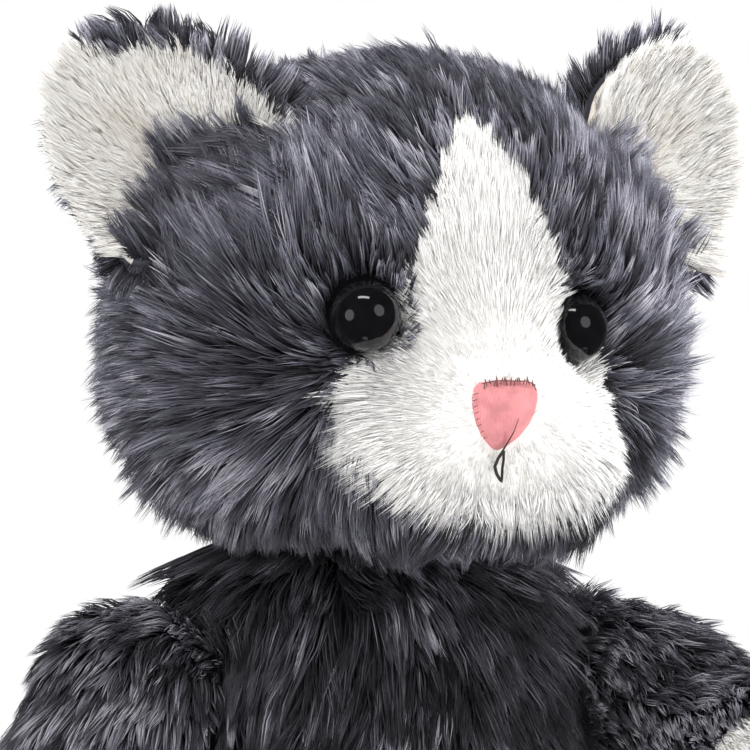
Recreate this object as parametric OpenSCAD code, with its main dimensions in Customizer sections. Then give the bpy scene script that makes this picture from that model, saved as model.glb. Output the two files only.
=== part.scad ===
// Seated plush cat with a swivelling head and disc-jointed arms and legs.
// Frame: origin at the centre of the seat's underside, +Z up, the cat faces -Y,
// so its own left side is +X.

/* [Head] */
// Radius of the head, front to back and up and down
head_r = 51; // [49:1:55]
// Half length of the straight middle of the head, side to side
head_half_mid = 12; // [8:1:16]
// Height of the head's centre
head_z = 220; // [219:0.5:222]
// How far the head's centre sits in front of the neck
head_forward = 14; // [10:1:16]
// Radius of the muzzle
muzzle_r = 21.5; // [19:0.5:22]
// Half length of the straight middle of the muzzle
muzzle_half_mid = 13; // [10:1:15]
// Diameter of each eye's dome
eye_d = 16; // [14:0.5:18]
// Distance from the middle of the face to each eye
eye_x = 27; // [25:0.5:29]
// Width of the nose pad
nose_w = 15; // [12:1:17]
// Width of each ear at its base
ear_w = 50; // [46:1:54]
// Height of each ear
ear_h = 46; // [42:1:50]

/* [Torso] */
// Height of the swivel plane between head and torso
neck_z = 168; // [166:0.5:169]
// Widest radius of the torso
torso_r = 50; // [47:0.5:51]
// Thickness of a sewn skin, backing cloth and laid pile together
skin = 5; // [4:0.5:6]

/* [Arms] */
// Length of an arm from its joint to the tip of the paw
arm_len = 100; // [90:1:104]
// Radius of the upper arm
arm_r = 24; // [22:0.5:25]
// Outward tilt of the shoulder joint, in degrees
shoulder_tilt = 20; // [16:1:24]
// How far forward the cat's left arm is raised, in degrees
left_arm_raise = 78; // [60:1:85]

/* [Legs] */
// Radius of the thigh
leg_r = 22.5; // [20:0.5:23]
// Height of the hip joint
hip_z = 26; // [25:0.5:28]
// Distance of the foot's middle in front of the hip
foot_y = 100; // [90:1:105]

/* [Joint discs] */
// Radius of the neck discs
neck_disc_r = 21; // [18:0.5:22]
// Radius of the shoulder and hip discs
limb_disc_r = 16; // [14:0.5:17]
// Radius of every joint's post
post_r = 4; // [3.5:0.1:4.2]

/* [Hidden] */
$fn = 64;
fit = 0.05;
fur_grey = [0.30, 0.30, 0.35];
fur_dark = [0.22, 0.22, 0.26];
fur_white = [0.93, 0.91, 0.88];

hy = -head_forward;
muz_y = hy - 40;
muz_z = neck_z + muzzle_r + 1.5;
hip_x = 38;
leg_x = hip_x + 13;
shoulder_p = [43.9, 0, 127.9];
arm_off = 15;
neck_p = [0, 0, neck_z];

// half space cutters
module above(z) translate([-200, -200, z]) cube([400, 400, 400]);
module below(z) translate([-200, -200, z - 400]) cube([400, 400, 400]);
module mirrored(side) { if (side > 0) children(); else mirror([1, 0, 0]) children(); }

// ---------- joint hardware, drawn with its axis along +Z and the limb above ----------
module post_disc(rd) difference() {
  union() {
    translate([0, 0, 3.1]) cylinder(r = rd, h = 3);
    translate([0, 0, -12]) cylinder(r = post_r, h = 16);
  }
  translate([0, 0, 5.1]) cylinder(r = post_r - 1.5, h = 2);
}
module disc_washer(rd) difference() {
  translate([0, 0, -6.1]) cylinder(r = rd, h = 3);
  translate([0, 0, -7]) cylinder(r = post_r + fit, h = 5);
}
module lock_washer() difference() {
  translate([0, 0, -9.2]) cylinder(r = 9, h = 2.8);
  translate([0, 0, -10]) cylinder(r = post_r + 0.02, h = 5);
}
// the room the hardware needs on the limb's side and on the torso's side
module limb_room(rd) translate([0, 0, 3]) cylinder(r = rd + 0.4, h = 3.4);
module torso_room(rd) {
  translate([0, 0, -6.4]) cylinder(r = rd + 0.4, h = 3.4);
  translate([0, 0, -13]) cylinder(r = 9.6, h = 8);
}
module post_hole() translate([0, 0, -13]) cylinder(r = post_r + 0.6, h = 19);

module at_neck() translate(neck_p) children();
module at_shoulder(side, swing) mirrored(side) translate(shoulder_p)
  rotate([0, 90 - shoulder_tilt, 0]) rotate([0, 0, -swing]) children();
module at_hip(side) mirrored(side) translate([hip_x, 0, hip_z]) rotate([0, 90, 0]) children();
function swing(side) = side > 0 ? left_arm_raise : 0;

// ---------- head ----------
module capsule_x(hm, r) {
  rotate([0, 90, 0]) cylinder(r = r, h = 2 * hm, center = true);
  for (s = [-1, 1]) translate([s * hm, 0, 0]) sphere(r = r);
}
module head_body(o) intersection() {
  union() {
    translate([0, hy, head_z]) capsule_x(head_half_mid, head_r - o);
    translate([0, muz_y, muz_z]) capsule_x(muzzle_half_mid, muzzle_r - o);
    translate([0, 0, neck_z - 5]) cylinder(r = neck_disc_r + 7 - o, h = 32 - o);
  }
  above(neck_z + 0.3 + (o > 0 ? o - skin + 2.7 : 0));
}
module head_shell() difference() {
  head_body(0);
  head_body(skin);
  at_neck() { post_hole(); limb_room(neck_disc_r); }
  eye_pair_holes();
  nose_pocket();
}
module muzzle_zone(g) translate([-muzzle_half_mid - muzzle_r - 1 - g, -140, neck_z - 5])
  cube([2 * (muzzle_half_mid + muzzle_r + 1 + g), 90 + g, 2 * muzzle_r + 8 + g]);
module blaze_zone(g) translate([0, -40 + g, 0]) rotate([90, 0, 0]) linear_extrude(height = 100)
  polygon([[0, 264 + g * 4], [11 + g, 240], [16 + g, 222], [19 + g, 200], [-19 - g, 200], [-16 - g, 222], [-11 - g, 240]]);
module muzzle_panel() color(fur_white) intersection() { head_shell(); muzzle_zone(0); }
module blaze_panel() color(fur_white) difference() {
  intersection() { head_shell(); blaze_zone(0); }
  muzzle_zone(0.2);
}
module head_back() color(fur_grey) intersection() { head_shell(); translate([-200, 12, 0]) cube([400, 200, 400]); }
module head_side(side) color(fur_grey) difference() {
  intersection() {
    head_shell();
    mirrored(side) translate([0.1, -200, 0]) cube([200, 211.8, 400]);
  }
  muzzle_zone(0.2);
  blaze_zone(0.2);
}
module head_stuffing() color("white") difference() {
  head_body(skin + 0.2);
  at_neck() { post_hole(); limb_room(neck_disc_r); }
  for (s = [-1, 1]) at_eye(s) {
    translate([0, 0, -20]) cylinder(r = 3.2, h = 40);
    translate([0, 0, -12]) cylinder(r = 8.2, h = 12);
  }
  nose_pocket();
}

// ---------- eyes, drawn looking along +Z with the cloth at z = 0 ----------
eye_dir_out = 24;
function eye_zc(side) = side > 0 ? 215.5 : 218.5;
function eye_yc(side) = hy - sqrt(pow(head_r, 2) - pow(eye_zc(side) - head_z, 2) - pow(eye_x - head_half_mid, 2));
module at_eye(side) mirrored(side) translate([eye_x, eye_yc(side), eye_zc(side)])
  rotate([0, 0, eye_dir_out]) rotate([90, 0, 0]) children();
module eye(side) color([0.02, 0.02, 0.02]) at_eye(side) difference() {
  union() {
    intersection() {
      translate([0, 0, 0.8]) sphere(d = eye_d);
      translate([-20, -20, 0.8]) cube([40, 40, 20]);
    }
    translate([0, 0, -14]) cylinder(r = 2.5, h = 15);
  }
  translate([0, 0, -15]) cylinder(r = 1, h = 6);
}
module eye_washer(side) color([0.9, 0.9, 0.85]) at_eye(side) difference() {
  translate([0, 0, -11]) cylinder(r = 7.5, h = 1.6);
  translate([0, 0, -12]) cylinder(r = 2.52, h = 4);
}
module eye_pair_holes() for (s = [-1, 1]) at_eye(s) {
  translate([0, 0, -14]) cylinder(r = 2.8, h = 15);
  translate([0, 0, -12]) cylinder(r = 8, h = 4);
  translate([0, 0, 0.6]) cylinder(r = eye_d / 2 + 0.3, h = 12);
}

// ---------- nose and mouth ----------
nose_y = muz_y - muzzle_r;
nose_z = muz_z + 4;
module nose_outline(g) polygon([for (i = [0:35]) let (a = i * 10,
  r = nose_w / 2 * (0.88 + 0.14 * cos(3 * (a - 30)) ) + g) [r * cos(a), r * sin(a)]]);
module nose_block(g) translate([0, nose_y + 3.5 + g, nose_z]) rotate([90, 0, 0])
  linear_extrude(height = 6 + 2 * g) nose_outline(g);
module nose_pocket() nose_block(0.15);
module nose_pad() color([0.88, 0.50, 0.50]) nose_block(0);
module mouth_stitch() color([0.15, 0.12, 0.12]) translate([0, muz_y, muz_z]) rotate([0, 90, 0])
  rotate([0, 0, -78.5]) rotate_extrude(angle = 14) translate([muzzle_r + 0.9, 0]) circle(r = 0.6, $fn = 24);

// ---------- ears: two dished sheets, back and lining ----------
function ear_edge(a, w, h) = [w / 2 * cos(a) * (1 - 0.28 * pow(max(sin(a), 0), 2)), h * (a > 180 ? 0.16 * sin(a) : pow(sin(a), 0.8))];
module ear_outline(g) polygon([for (i = [0:47]) let (p = ear_edge(i * 7.5, ear_w - 2 * g, ear_h - g)) p]);
module at_ear(side) mirrored(side) translate([52, hy - 16, head_z + 25.5]) rotate([0, 44, 16]) children();
module ear_sheet(r0, r1, g) intersection() {
  translate([0, 30, 0]) rotate([90, 0, 0]) linear_extrude(height = 60) ear_outline(g);
  translate([0, -52, 22]) difference() { sphere(r = r1); sphere(r = r0); }
}
module ear_back(side) color(fur_grey) difference() {
  at_ear(side) ear_sheet(58.2, 62.2, 0);
  head_clear();
}
module ear_lining(side) color(fur_white) difference() {
  at_ear(side) ear_sheet(54, 58, 3);
  head_clear();
}
module head_clear() translate([0, hy, head_z]) capsule_x(head_half_mid, head_r + 0.2);

// ---------- torso ----------
torso_curve = [[0, 38], [6, 44], [16, 47.5], [32, 49.5], [55, 50], [80, 49], [104, 48], [124, 47.5], [138, 46], [150, 43.5], [159, 40], [164.5, 36], [168, 31]];
module torso_body(o) rotate_extrude() polygon(concat([[0, o], [0, neck_z - (o > 0 ? o - skin + 2.7 : 0)]],
  [for (i = [len(torso_curve) - 1:-1:0]) let (z = torso_curve[i][0], r = torso_curve[i][1] * torso_r / 50)
    [r - o, min(max(z * neck_z / 168, o), neck_z - (o > 0 ? o - skin + 2.7 : 0))]]));
module limb_cuts(o) for (s = [-1, 1]) {
  mirrored(s) translate(shoulder_p) rotate([0, 90 - shoulder_tilt, 0]) translate([0, 0, -0.3 - o]) cylinder(r = arm_r + 7 + o, h = 60);
  mirrored(s) translate([hip_x - 0.3 - o, 0, hip_z]) rotate([0, 90, 0]) cylinder(r = leg_r + 2.5 + o, h = 60);
  mirrored(s) translate([hip_x - 0.3 - o, -100, -10]) cube([60, 100, hip_z + 10 + leg_r + 7 + o]);
  mirrored(s) translate([hip_x - 0.3 - o, -1, -10]) cube([60, 1 + leg_r + 2.5 + o, hip_z + 10]);
}
module torso_shell() difference() {
  torso_body(0);
  difference() { torso_body(skin); limb_cuts(2.7); }
  limb_cuts(0);
  at_neck() { post_hole(); torso_room(neck_disc_r); }
  for (s = [-1, 1]) {
    at_shoulder(s, 0) { post_hole(); torso_room(limb_disc_r); }
    at_hip(s) { post_hole(); torso_room(limb_disc_r); }
  }
}
module torso_base() color(fur_dark) intersection() { torso_shell(); below(skin); }
module torso_front() color(fur_dark) intersection() { torso_shell(); above(skin + 0.2); translate([-200, -400.1, 0]) cube([400, 400, 400]); }
module torso_back(side) color(fur_dark) intersection() { torso_shell(); above(skin + 0.2); mirrored(side) translate([0.1, 0.1, 0]) cube([200, 200, 400]); }
module torso_stuffing() color("white") difference() {
  torso_body(skin + 0.2);
  limb_cuts(2.9);
  at_neck() { post_hole(); torso_room(neck_disc_r); }
  for (s = [-1, 1]) {
    at_shoulder(s, 0) { post_hole(); torso_room(limb_disc_r); }
    at_hip(s) { post_hole(); torso_room(limb_disc_r); }
  }
}

// ---------- tail, curled on the floor beside the seat ----------
tail_r = 12;
tail_bend = 62;
module tail_body(o) translate([tail_bend, 38, tail_r + 0.5]) {
  rotate([0, 0, 70]) rotate_extrude(angle = 110) translate([tail_bend, 0]) circle(r = tail_r - o);
  rotate([0, 0, 70]) translate([tail_bend, 0, 0]) sphere(r = tail_r - o);
}
module tail_clear(g) torso_body(-g);
module tail_skin() color(fur_grey) difference() { tail_body(0); tail_body(3.5); tail_clear(0.2); }
module tail_stuffing() color("white") difference() { tail_body(3.7); tail_clear(0.2); }

// ---------- arms, drawn along +X with the joint plane at z = 0 ----------
paw_c = arm_len - 21;
function arm_prof(o) = concat(
  [[0, -arm_r + o]],
  [for (a = [-75:15:0]) [(arm_r - o) * cos(a), (arm_r - o) * sin(a)]],
  [[arm_r - 1.5 - o, 22], [20.5 - o, 42], [19.5 - o, 58]],
  [for (a = [-20:11:79]) [(21 - o) * cos(a), paw_c + (21 - o) * sin(a)]],
  [[0, paw_c + 21 - o]]);
module arm_body(o) intersection() {
  translate([0, 0, arm_off]) rotate([0, 90, 0]) rotate_extrude() polygon(arm_prof(o));
  above(0.3 + (o > 0 ? o - skin + 2.7 : 0));
}
paw_seam = 70;
module arm_shell() difference() { arm_body(0); arm_body(skin); post_hole(); limb_room(limb_disc_r); }
module arm_sleeve(side) color(fur_dark) at_shoulder(side, swing(side)) intersection() {
  arm_shell();
  translate([-100, -50, -10]) cube([100 + paw_seam - 0.1, 100, 100]);
}
module paw(side) color(fur_white) at_shoulder(side, swing(side)) intersection() {
  arm_shell();
  translate([paw_seam + 0.1, -50, -10]) cube([100, 100, 100]);
}
module arm_stuffing(side) color("white") at_shoulder(side, swing(side)) difference() { arm_body(skin + 0.2); post_hole(); limb_room(limb_disc_r); }

// ---------- legs, pointing forward ----------
function leg_prof(o) = concat(
  [[0, -leg_r + o]],
  [for (a = [-75:15:0]) [(leg_r - o) * cos(a), (leg_r - o) * sin(a)]],
  [[leg_r - o, 30], [20.5 - o, 60], [20 - o, foot_y - 2], [0, foot_y - 2]]);
module leg_body(o) mirrored(1) intersection() {
  translate([leg_x, 0, hip_z]) {
    rotate([90, 0, 0]) rotate_extrude() polygon(leg_prof(o));
    translate([0, -foot_y, -1]) sphere(r = 22 - o);
    translate([0, -foot_y, -1]) cylinder(r = 22 - o, h = 22);
    translate([0, -foot_y, 21]) sphere(r = 22 - o);
  }
  translate([hip_x + 0.3 + (o > 0 ? o - skin + 2.7 : 0), -300, 0]) cube([200, 400, 200]);
}
module leg_shell() difference() { leg_body(0); leg_body(skin); at_hip(1) { post_hole(); limb_room(limb_disc_r); } }
foot_seam = -foot_y + 20;
sole_cut = -foot_y - 13;
module leg_sleeve(side) color(fur_dark) mirrored(side) intersection() { leg_shell(); translate([0, foot_seam + 0.1, -50]) cube([200, 200, 200]); }
module foot(side) color(fur_white) mirrored(side) intersection() { leg_shell(); translate([0, sole_cut + 0.1, -50]) cube([200, foot_seam - sole_cut - 0.2, 200]); }
module sole(side) color([0.86, 0.62, 0.60]) mirrored(side) intersection() { leg_shell(); translate([0, sole_cut - 100.1, -50]) cube([200, 100, 200]); }
module leg_stuffing(side) color("white") mirrored(side) difference() { leg_body(skin + 0.2); at_hip(1) { post_hole(); limb_room(limb_disc_r); } }

disc_c = [0.55, 0.42, 0.30];
lock_c = [0.75, 0.75, 0.78];

head_side(-1);  // head_side_right
head_side(1);  // head_side_left
head_back();
blaze_panel();
muzzle_panel();
head_stuffing();
ear_back(-1);  // ear_back_right
ear_back(1);  // ear_back_left
ear_lining(-1);  // ear_lining_right
ear_lining(1);  // ear_lining_left
eye(-1);  // eye_right
eye(1);  // eye_left
eye_washer(-1);  // eye_washer_right
eye_washer(1);  // eye_washer_left
nose_pad();
mouth_stitch();
color(disc_c) at_neck() post_disc(neck_disc_r);  // neck_post_disc
color(disc_c) at_neck() disc_washer(neck_disc_r);  // neck_washer
color(lock_c) at_neck() lock_washer();  // neck_lock_washer
torso_front();
torso_back(-1);  // torso_back_right
torso_back(1);  // torso_back_left
torso_base();
torso_stuffing();
tail_skin();
tail_stuffing();
arm_sleeve(-1);  // arm_sleeve_right
arm_sleeve(1);  // arm_sleeve_left
paw(-1);  // paw_right
paw(1);  // paw_left
arm_stuffing(-1);  // arm_stuffing_right
arm_stuffing(1);  // arm_stuffing_left
color(disc_c) at_shoulder(-1, 0) post_disc(limb_disc_r);  // shoulder_post_disc_right
color(disc_c) at_shoulder(1, 0) post_disc(limb_disc_r);  // shoulder_post_disc_left
color(disc_c) at_shoulder(-1, 0) disc_washer(limb_disc_r);  // shoulder_washer_right
color(disc_c) at_shoulder(1, 0) disc_washer(limb_disc_r);  // shoulder_washer_left
color(lock_c) at_shoulder(-1, 0) lock_washer();  // shoulder_lock_washer_right
color(lock_c) at_shoulder(1, 0) lock_washer();  // shoulder_lock_washer_left
leg_sleeve(-1);  // leg_sleeve_right
leg_sleeve(1);  // leg_sleeve_left
foot(-1);  // foot_right
foot(1);  // foot_left
sole(-1);  // sole_right
sole(1);  // sole_left
leg_stuffing(-1);  // leg_stuffing_right
leg_stuffing(1);  // leg_stuffing_left
color(disc_c) at_hip(-1) post_disc(limb_disc_r);  // hip_post_disc_right
color(disc_c) at_hip(1) post_disc(limb_disc_r);  // hip_post_disc_left
color(disc_c) at_hip(-1) disc_washer(limb_disc_r);  // hip_washer_right
color(disc_c) at_hip(1) disc_washer(limb_disc_r);  // hip_washer_left
color(lock_c) at_hip(-1) lock_washer();  // hip_lock_washer_right
color(lock_c) at_hip(1) lock_washer();  // hip_lock_washer_left
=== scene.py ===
import bpy, bmesh, math
import numpy as np
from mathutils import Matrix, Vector, kdtree


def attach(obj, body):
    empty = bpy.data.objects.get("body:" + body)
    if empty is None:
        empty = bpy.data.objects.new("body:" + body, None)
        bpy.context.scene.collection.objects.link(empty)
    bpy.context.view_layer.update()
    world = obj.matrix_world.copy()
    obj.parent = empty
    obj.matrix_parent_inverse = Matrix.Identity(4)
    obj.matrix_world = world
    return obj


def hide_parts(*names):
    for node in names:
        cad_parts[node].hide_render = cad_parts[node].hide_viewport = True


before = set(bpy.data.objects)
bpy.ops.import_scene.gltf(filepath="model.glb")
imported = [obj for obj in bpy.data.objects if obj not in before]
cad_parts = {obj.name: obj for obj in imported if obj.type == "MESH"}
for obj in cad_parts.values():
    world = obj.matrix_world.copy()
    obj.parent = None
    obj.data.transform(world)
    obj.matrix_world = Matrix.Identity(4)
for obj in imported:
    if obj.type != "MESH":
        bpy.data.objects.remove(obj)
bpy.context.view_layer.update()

# everything below is worked out in millimetres, in the CAD's own frame, and scaled to metres at the end
DENS = 1.0
NECK_Z = 168.0
HEAD_C = np.array([0.0, -14.0, 220.0])
MUZ = np.array([0.0, -54.0, 191.0])
TILT = math.radians(20)
SH_P = np.array([43.9, 0.0, 127.9])
HIP_X, HIP_Z, LEG_X, FOOT_Y = 38.0, 26.0, 51.0, -100.0


# ------------------------------------------------------------------ numeric helpers
def unit(v):
    return v / np.maximum(np.linalg.norm(v, axis=-1, keepdims=True), 1e-9)


def smin(a, b, k):
    h = np.clip(0.5 + 0.5 * (b - a) / k, 0, 1)
    return b * (1 - h) + a * h - k * h * (1 - h)


def smax(a, b, k):
    return -smin(-a, -b, k)


def sstep(a, b, x):
    t = np.clip((x - a) / (b - a), 0, 1)
    return t * t * (3 - 2 * t)


def sph(p, c, r):
    return np.linalg.norm(p - np.asarray(c, float), axis=-1) - r


def ell(p, c, r):
    r = np.asarray(r, float)
    q = (p - np.asarray(c, float)) / r
    k = np.linalg.norm(q, axis=-1)
    return (k - 1) * r.min()


def cap(p, a, b, r):
    a, b = np.asarray(a, float), np.asarray(b, float)
    ab = b - a
    t = np.clip(((p - a) @ ab) / (ab @ ab), 0, 1)
    return np.linalg.norm(p - (a + t[:, None] * ab), axis=-1) - r


def hash3(i, j, k, seed):
    h = (i * 73856093) ^ (j * 19349663) ^ (k * 83492791) ^ (seed * 2654435761 & 0x7FFFFFFF)
    h = (h ^ (h >> 13)) * 1274126177 & 0x7FFFFFFF
    h = (h ^ (h >> 16)) * 668265263 & 0x7FFFFFFF
    return (h & 0xFFFFFF) / float(0xFFFFFF) * 2 - 1


def noise(p, size, seed=1):
    q = p / size + 1000.0
    i = np.floor(q).astype(np.int64)
    f = q - i
    f = f * f * (3 - 2 * f)
    out = 0
    for dx in (0, 1):
        for dy in (0, 1):
            for dz in (0, 1):
                w = (f[:, 0] if dx else 1 - f[:, 0]) * (f[:, 1] if dy else 1 - f[:, 1]) * (f[:, 2] if dz else 1 - f[:, 2])
                out = out + w * hash3(i[:, 0] + dx, i[:, 1] + dy, i[:, 2] + dz, seed)
    return out


_ico = {}


def ico(sub):
    if sub not in _ico:
        bm = bmesh.new()
        bmesh.ops.create_icosphere(bm, subdivisions=sub, radius=1.0)
        v = np.array([x.co[:] for x in bm.verts])
        f = np.array([[x.index for x in g.verts] for g in bm.faces])
        bm.free()
        _ico[sub] = (unit(v), f)
    return _ico[sub]


def star(a, b, f, rmax, sub=6):
    """A closed skin round the segment a-b: each vertex is where f first turns positive."""
    q, faces = ico(sub)
    a, b = np.asarray(a, float), np.asarray(b, float)
    L = np.linalg.norm(b - a)
    t = sstep(-1, 1, q @ ((b - a) / L)) if L > 0 else np.zeros(len(q))
    o = a + t[:, None] * (b - a)
    lo = np.zeros(len(q))
    hi = np.full(len(q), float(rmax))
    found = np.zeros(len(q), bool)
    for r in np.linspace(0, rmax, 40)[1:]:
        out = f(o + q * r) > 0
        new = out & ~found
        hi[new] = r
        lo[new] = r - rmax / 39
        found |= out
    for _ in range(14):
        mid = (lo + hi) / 2
        out = f(o + q * mid[:, None]) > 0
        hi = np.where(out, mid, hi)
        lo = np.where(out, lo, mid)
    return o + q * lo[:, None], faces


def vnormals(v, f):
    n = np.cross(v[f[:, 1]] - v[f[:, 0]], v[f[:, 2]] - v[f[:, 0]])
    out = np.zeros_like(v)
    for k in range(3):
        np.add.at(out, f[:, k], n)
    return unit(out)


def relax(v, f, n=2, w=0.5):
    e = np.vstack([f[:, [0, 1]], f[:, [1, 2]], f[:, [2, 0]]])
    e = np.vstack([e, e[:, ::-1]])
    cnt = np.bincount(e[:, 0], minlength=len(v))[:, None]
    for _ in range(n):
        s = np.zeros_like(v)
        np.add.at(s, e[:, 0], v[e[:, 1]])
        v = v * (1 - w) + w * s / np.maximum(cnt, 1)
    return v


def roots(v, f, n, count, rng, keep=None, weight=None):
    """count points spread over the faces by area, with their normals."""
    a = np.linalg.norm(np.cross(v[f[:, 1]] - v[f[:, 0]], v[f[:, 2]] - v[f[:, 0]]), axis=1) / 2
    c = v[f].mean(1)
    if weight is not None:
        a = a * weight(c)
    if keep is not None:
        a = a * keep(c)
    k = rng.choice(len(f), int(count), p=a / a.sum())
    r1, r2 = np.sqrt(rng.random(len(k))), rng.random(len(k))
    w = np.stack([1 - r1, r1 * (1 - r2), r1 * r2], 1)
    P = (v[f[k]] * w[..., None]).sum(1)
    N = unit((n[f[k]] * w[..., None]).sum(1))
    return P, N


def area(v, f, keep=None):
    a = np.linalg.norm(np.cross(v[f[:, 1]] - v[f[:, 0]], v[f[:, 2]] - v[f[:, 0]]), axis=1) / 2
    return float((a * keep(v[f].mean(1))).sum() if keep is not None else a.sum())


# ------------------------------------------------------------------ making objects
def make(name, v, f, mat, uv=None, smooth=True):
    me = bpy.data.meshes.new(name)
    v = np.ascontiguousarray(v, dtype=np.float64) / 1000.0
    f = np.ascontiguousarray(f, dtype=np.int64)
    me.vertices.add(len(v))
    me.vertices.foreach_set("co", v.ravel())
    k = f.shape[1]
    me.loops.add(len(f) * k)
    me.loops.foreach_set("vertex_index", f.ravel().astype(np.int32))
    me.polygons.add(len(f))
    me.polygons.foreach_set("loop_start", np.arange(0, len(f) * k, k, dtype=np.int32))
    me.polygons.foreach_set("loop_total", np.full(len(f), k, dtype=np.int32))
    if uv is not None:
        layer = me.uv_layers.new(name="OFBake")
        layer.data.foreach_set("uv", np.ascontiguousarray(uv[f.ravel()], dtype=np.float32).ravel())
    me.update(calc_edges=True)
    me.validate()
    me.polygons.foreach_set("use_smooth", np.full(len(me.polygons), smooth))
    ob = bpy.data.objects.new(name, me)
    bpy.context.scene.collection.objects.link(ob)
    me.materials.append(mat)
    return ob


def shell(v, f, n, thick):
    """A face patch as a closed sheet: its own faces, the same faces set in by thick, and a rim."""
    used = np.unique(f)
    m = np.full(len(v), -1)
    m[used] = np.arange(len(used))
    f = m[f]
    v, n = v[used], n[used]
    k = len(v)
    e = np.vstack([f[:, [0, 1]], f[:, [1, 2]], f[:, [2, 0]]])
    key = np.sort(e, axis=1) @ np.array([k, 1])
    _, first, cnt = np.unique(key, return_index=True, return_counts=True)
    rim = e[first[cnt == 1]]
    V = np.vstack([v, v - n * thick])
    R = np.vstack([np.stack([rim[:, 1], rim[:, 0], rim[:, 0] + k], 1), np.stack([rim[:, 1], rim[:, 0] + k, rim[:, 1] + k], 1)]) if len(rim) else np.zeros((0, 3), int)
    return V, np.vstack([f, f[:, ::-1] + k, R])


def backing(name, v, f, n, keep, mat, body, nodes, tone=0.3, thick=1.4):
    sel = keep(v[f].mean(1)) > 0.5
    V, F = shell(v, f[sel], n, thick)
    # the skin takes the root end of the pile's root-to-tip ramp, so the cloth under the pile is painted dark as shade
    # between the strands
    u = np.clip(tone + 0.1 * noise(V, 9, 5), 0.05, 0.95)
    uv = np.stack([u, 0.03 + 0.02 * noise(V, 3, 6)], 1)
    ob = make(name, V, F, mat, uv)
    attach(ob, body)
    if nodes:
        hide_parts(*nodes)
    return ob


MAXS = 12400


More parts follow.
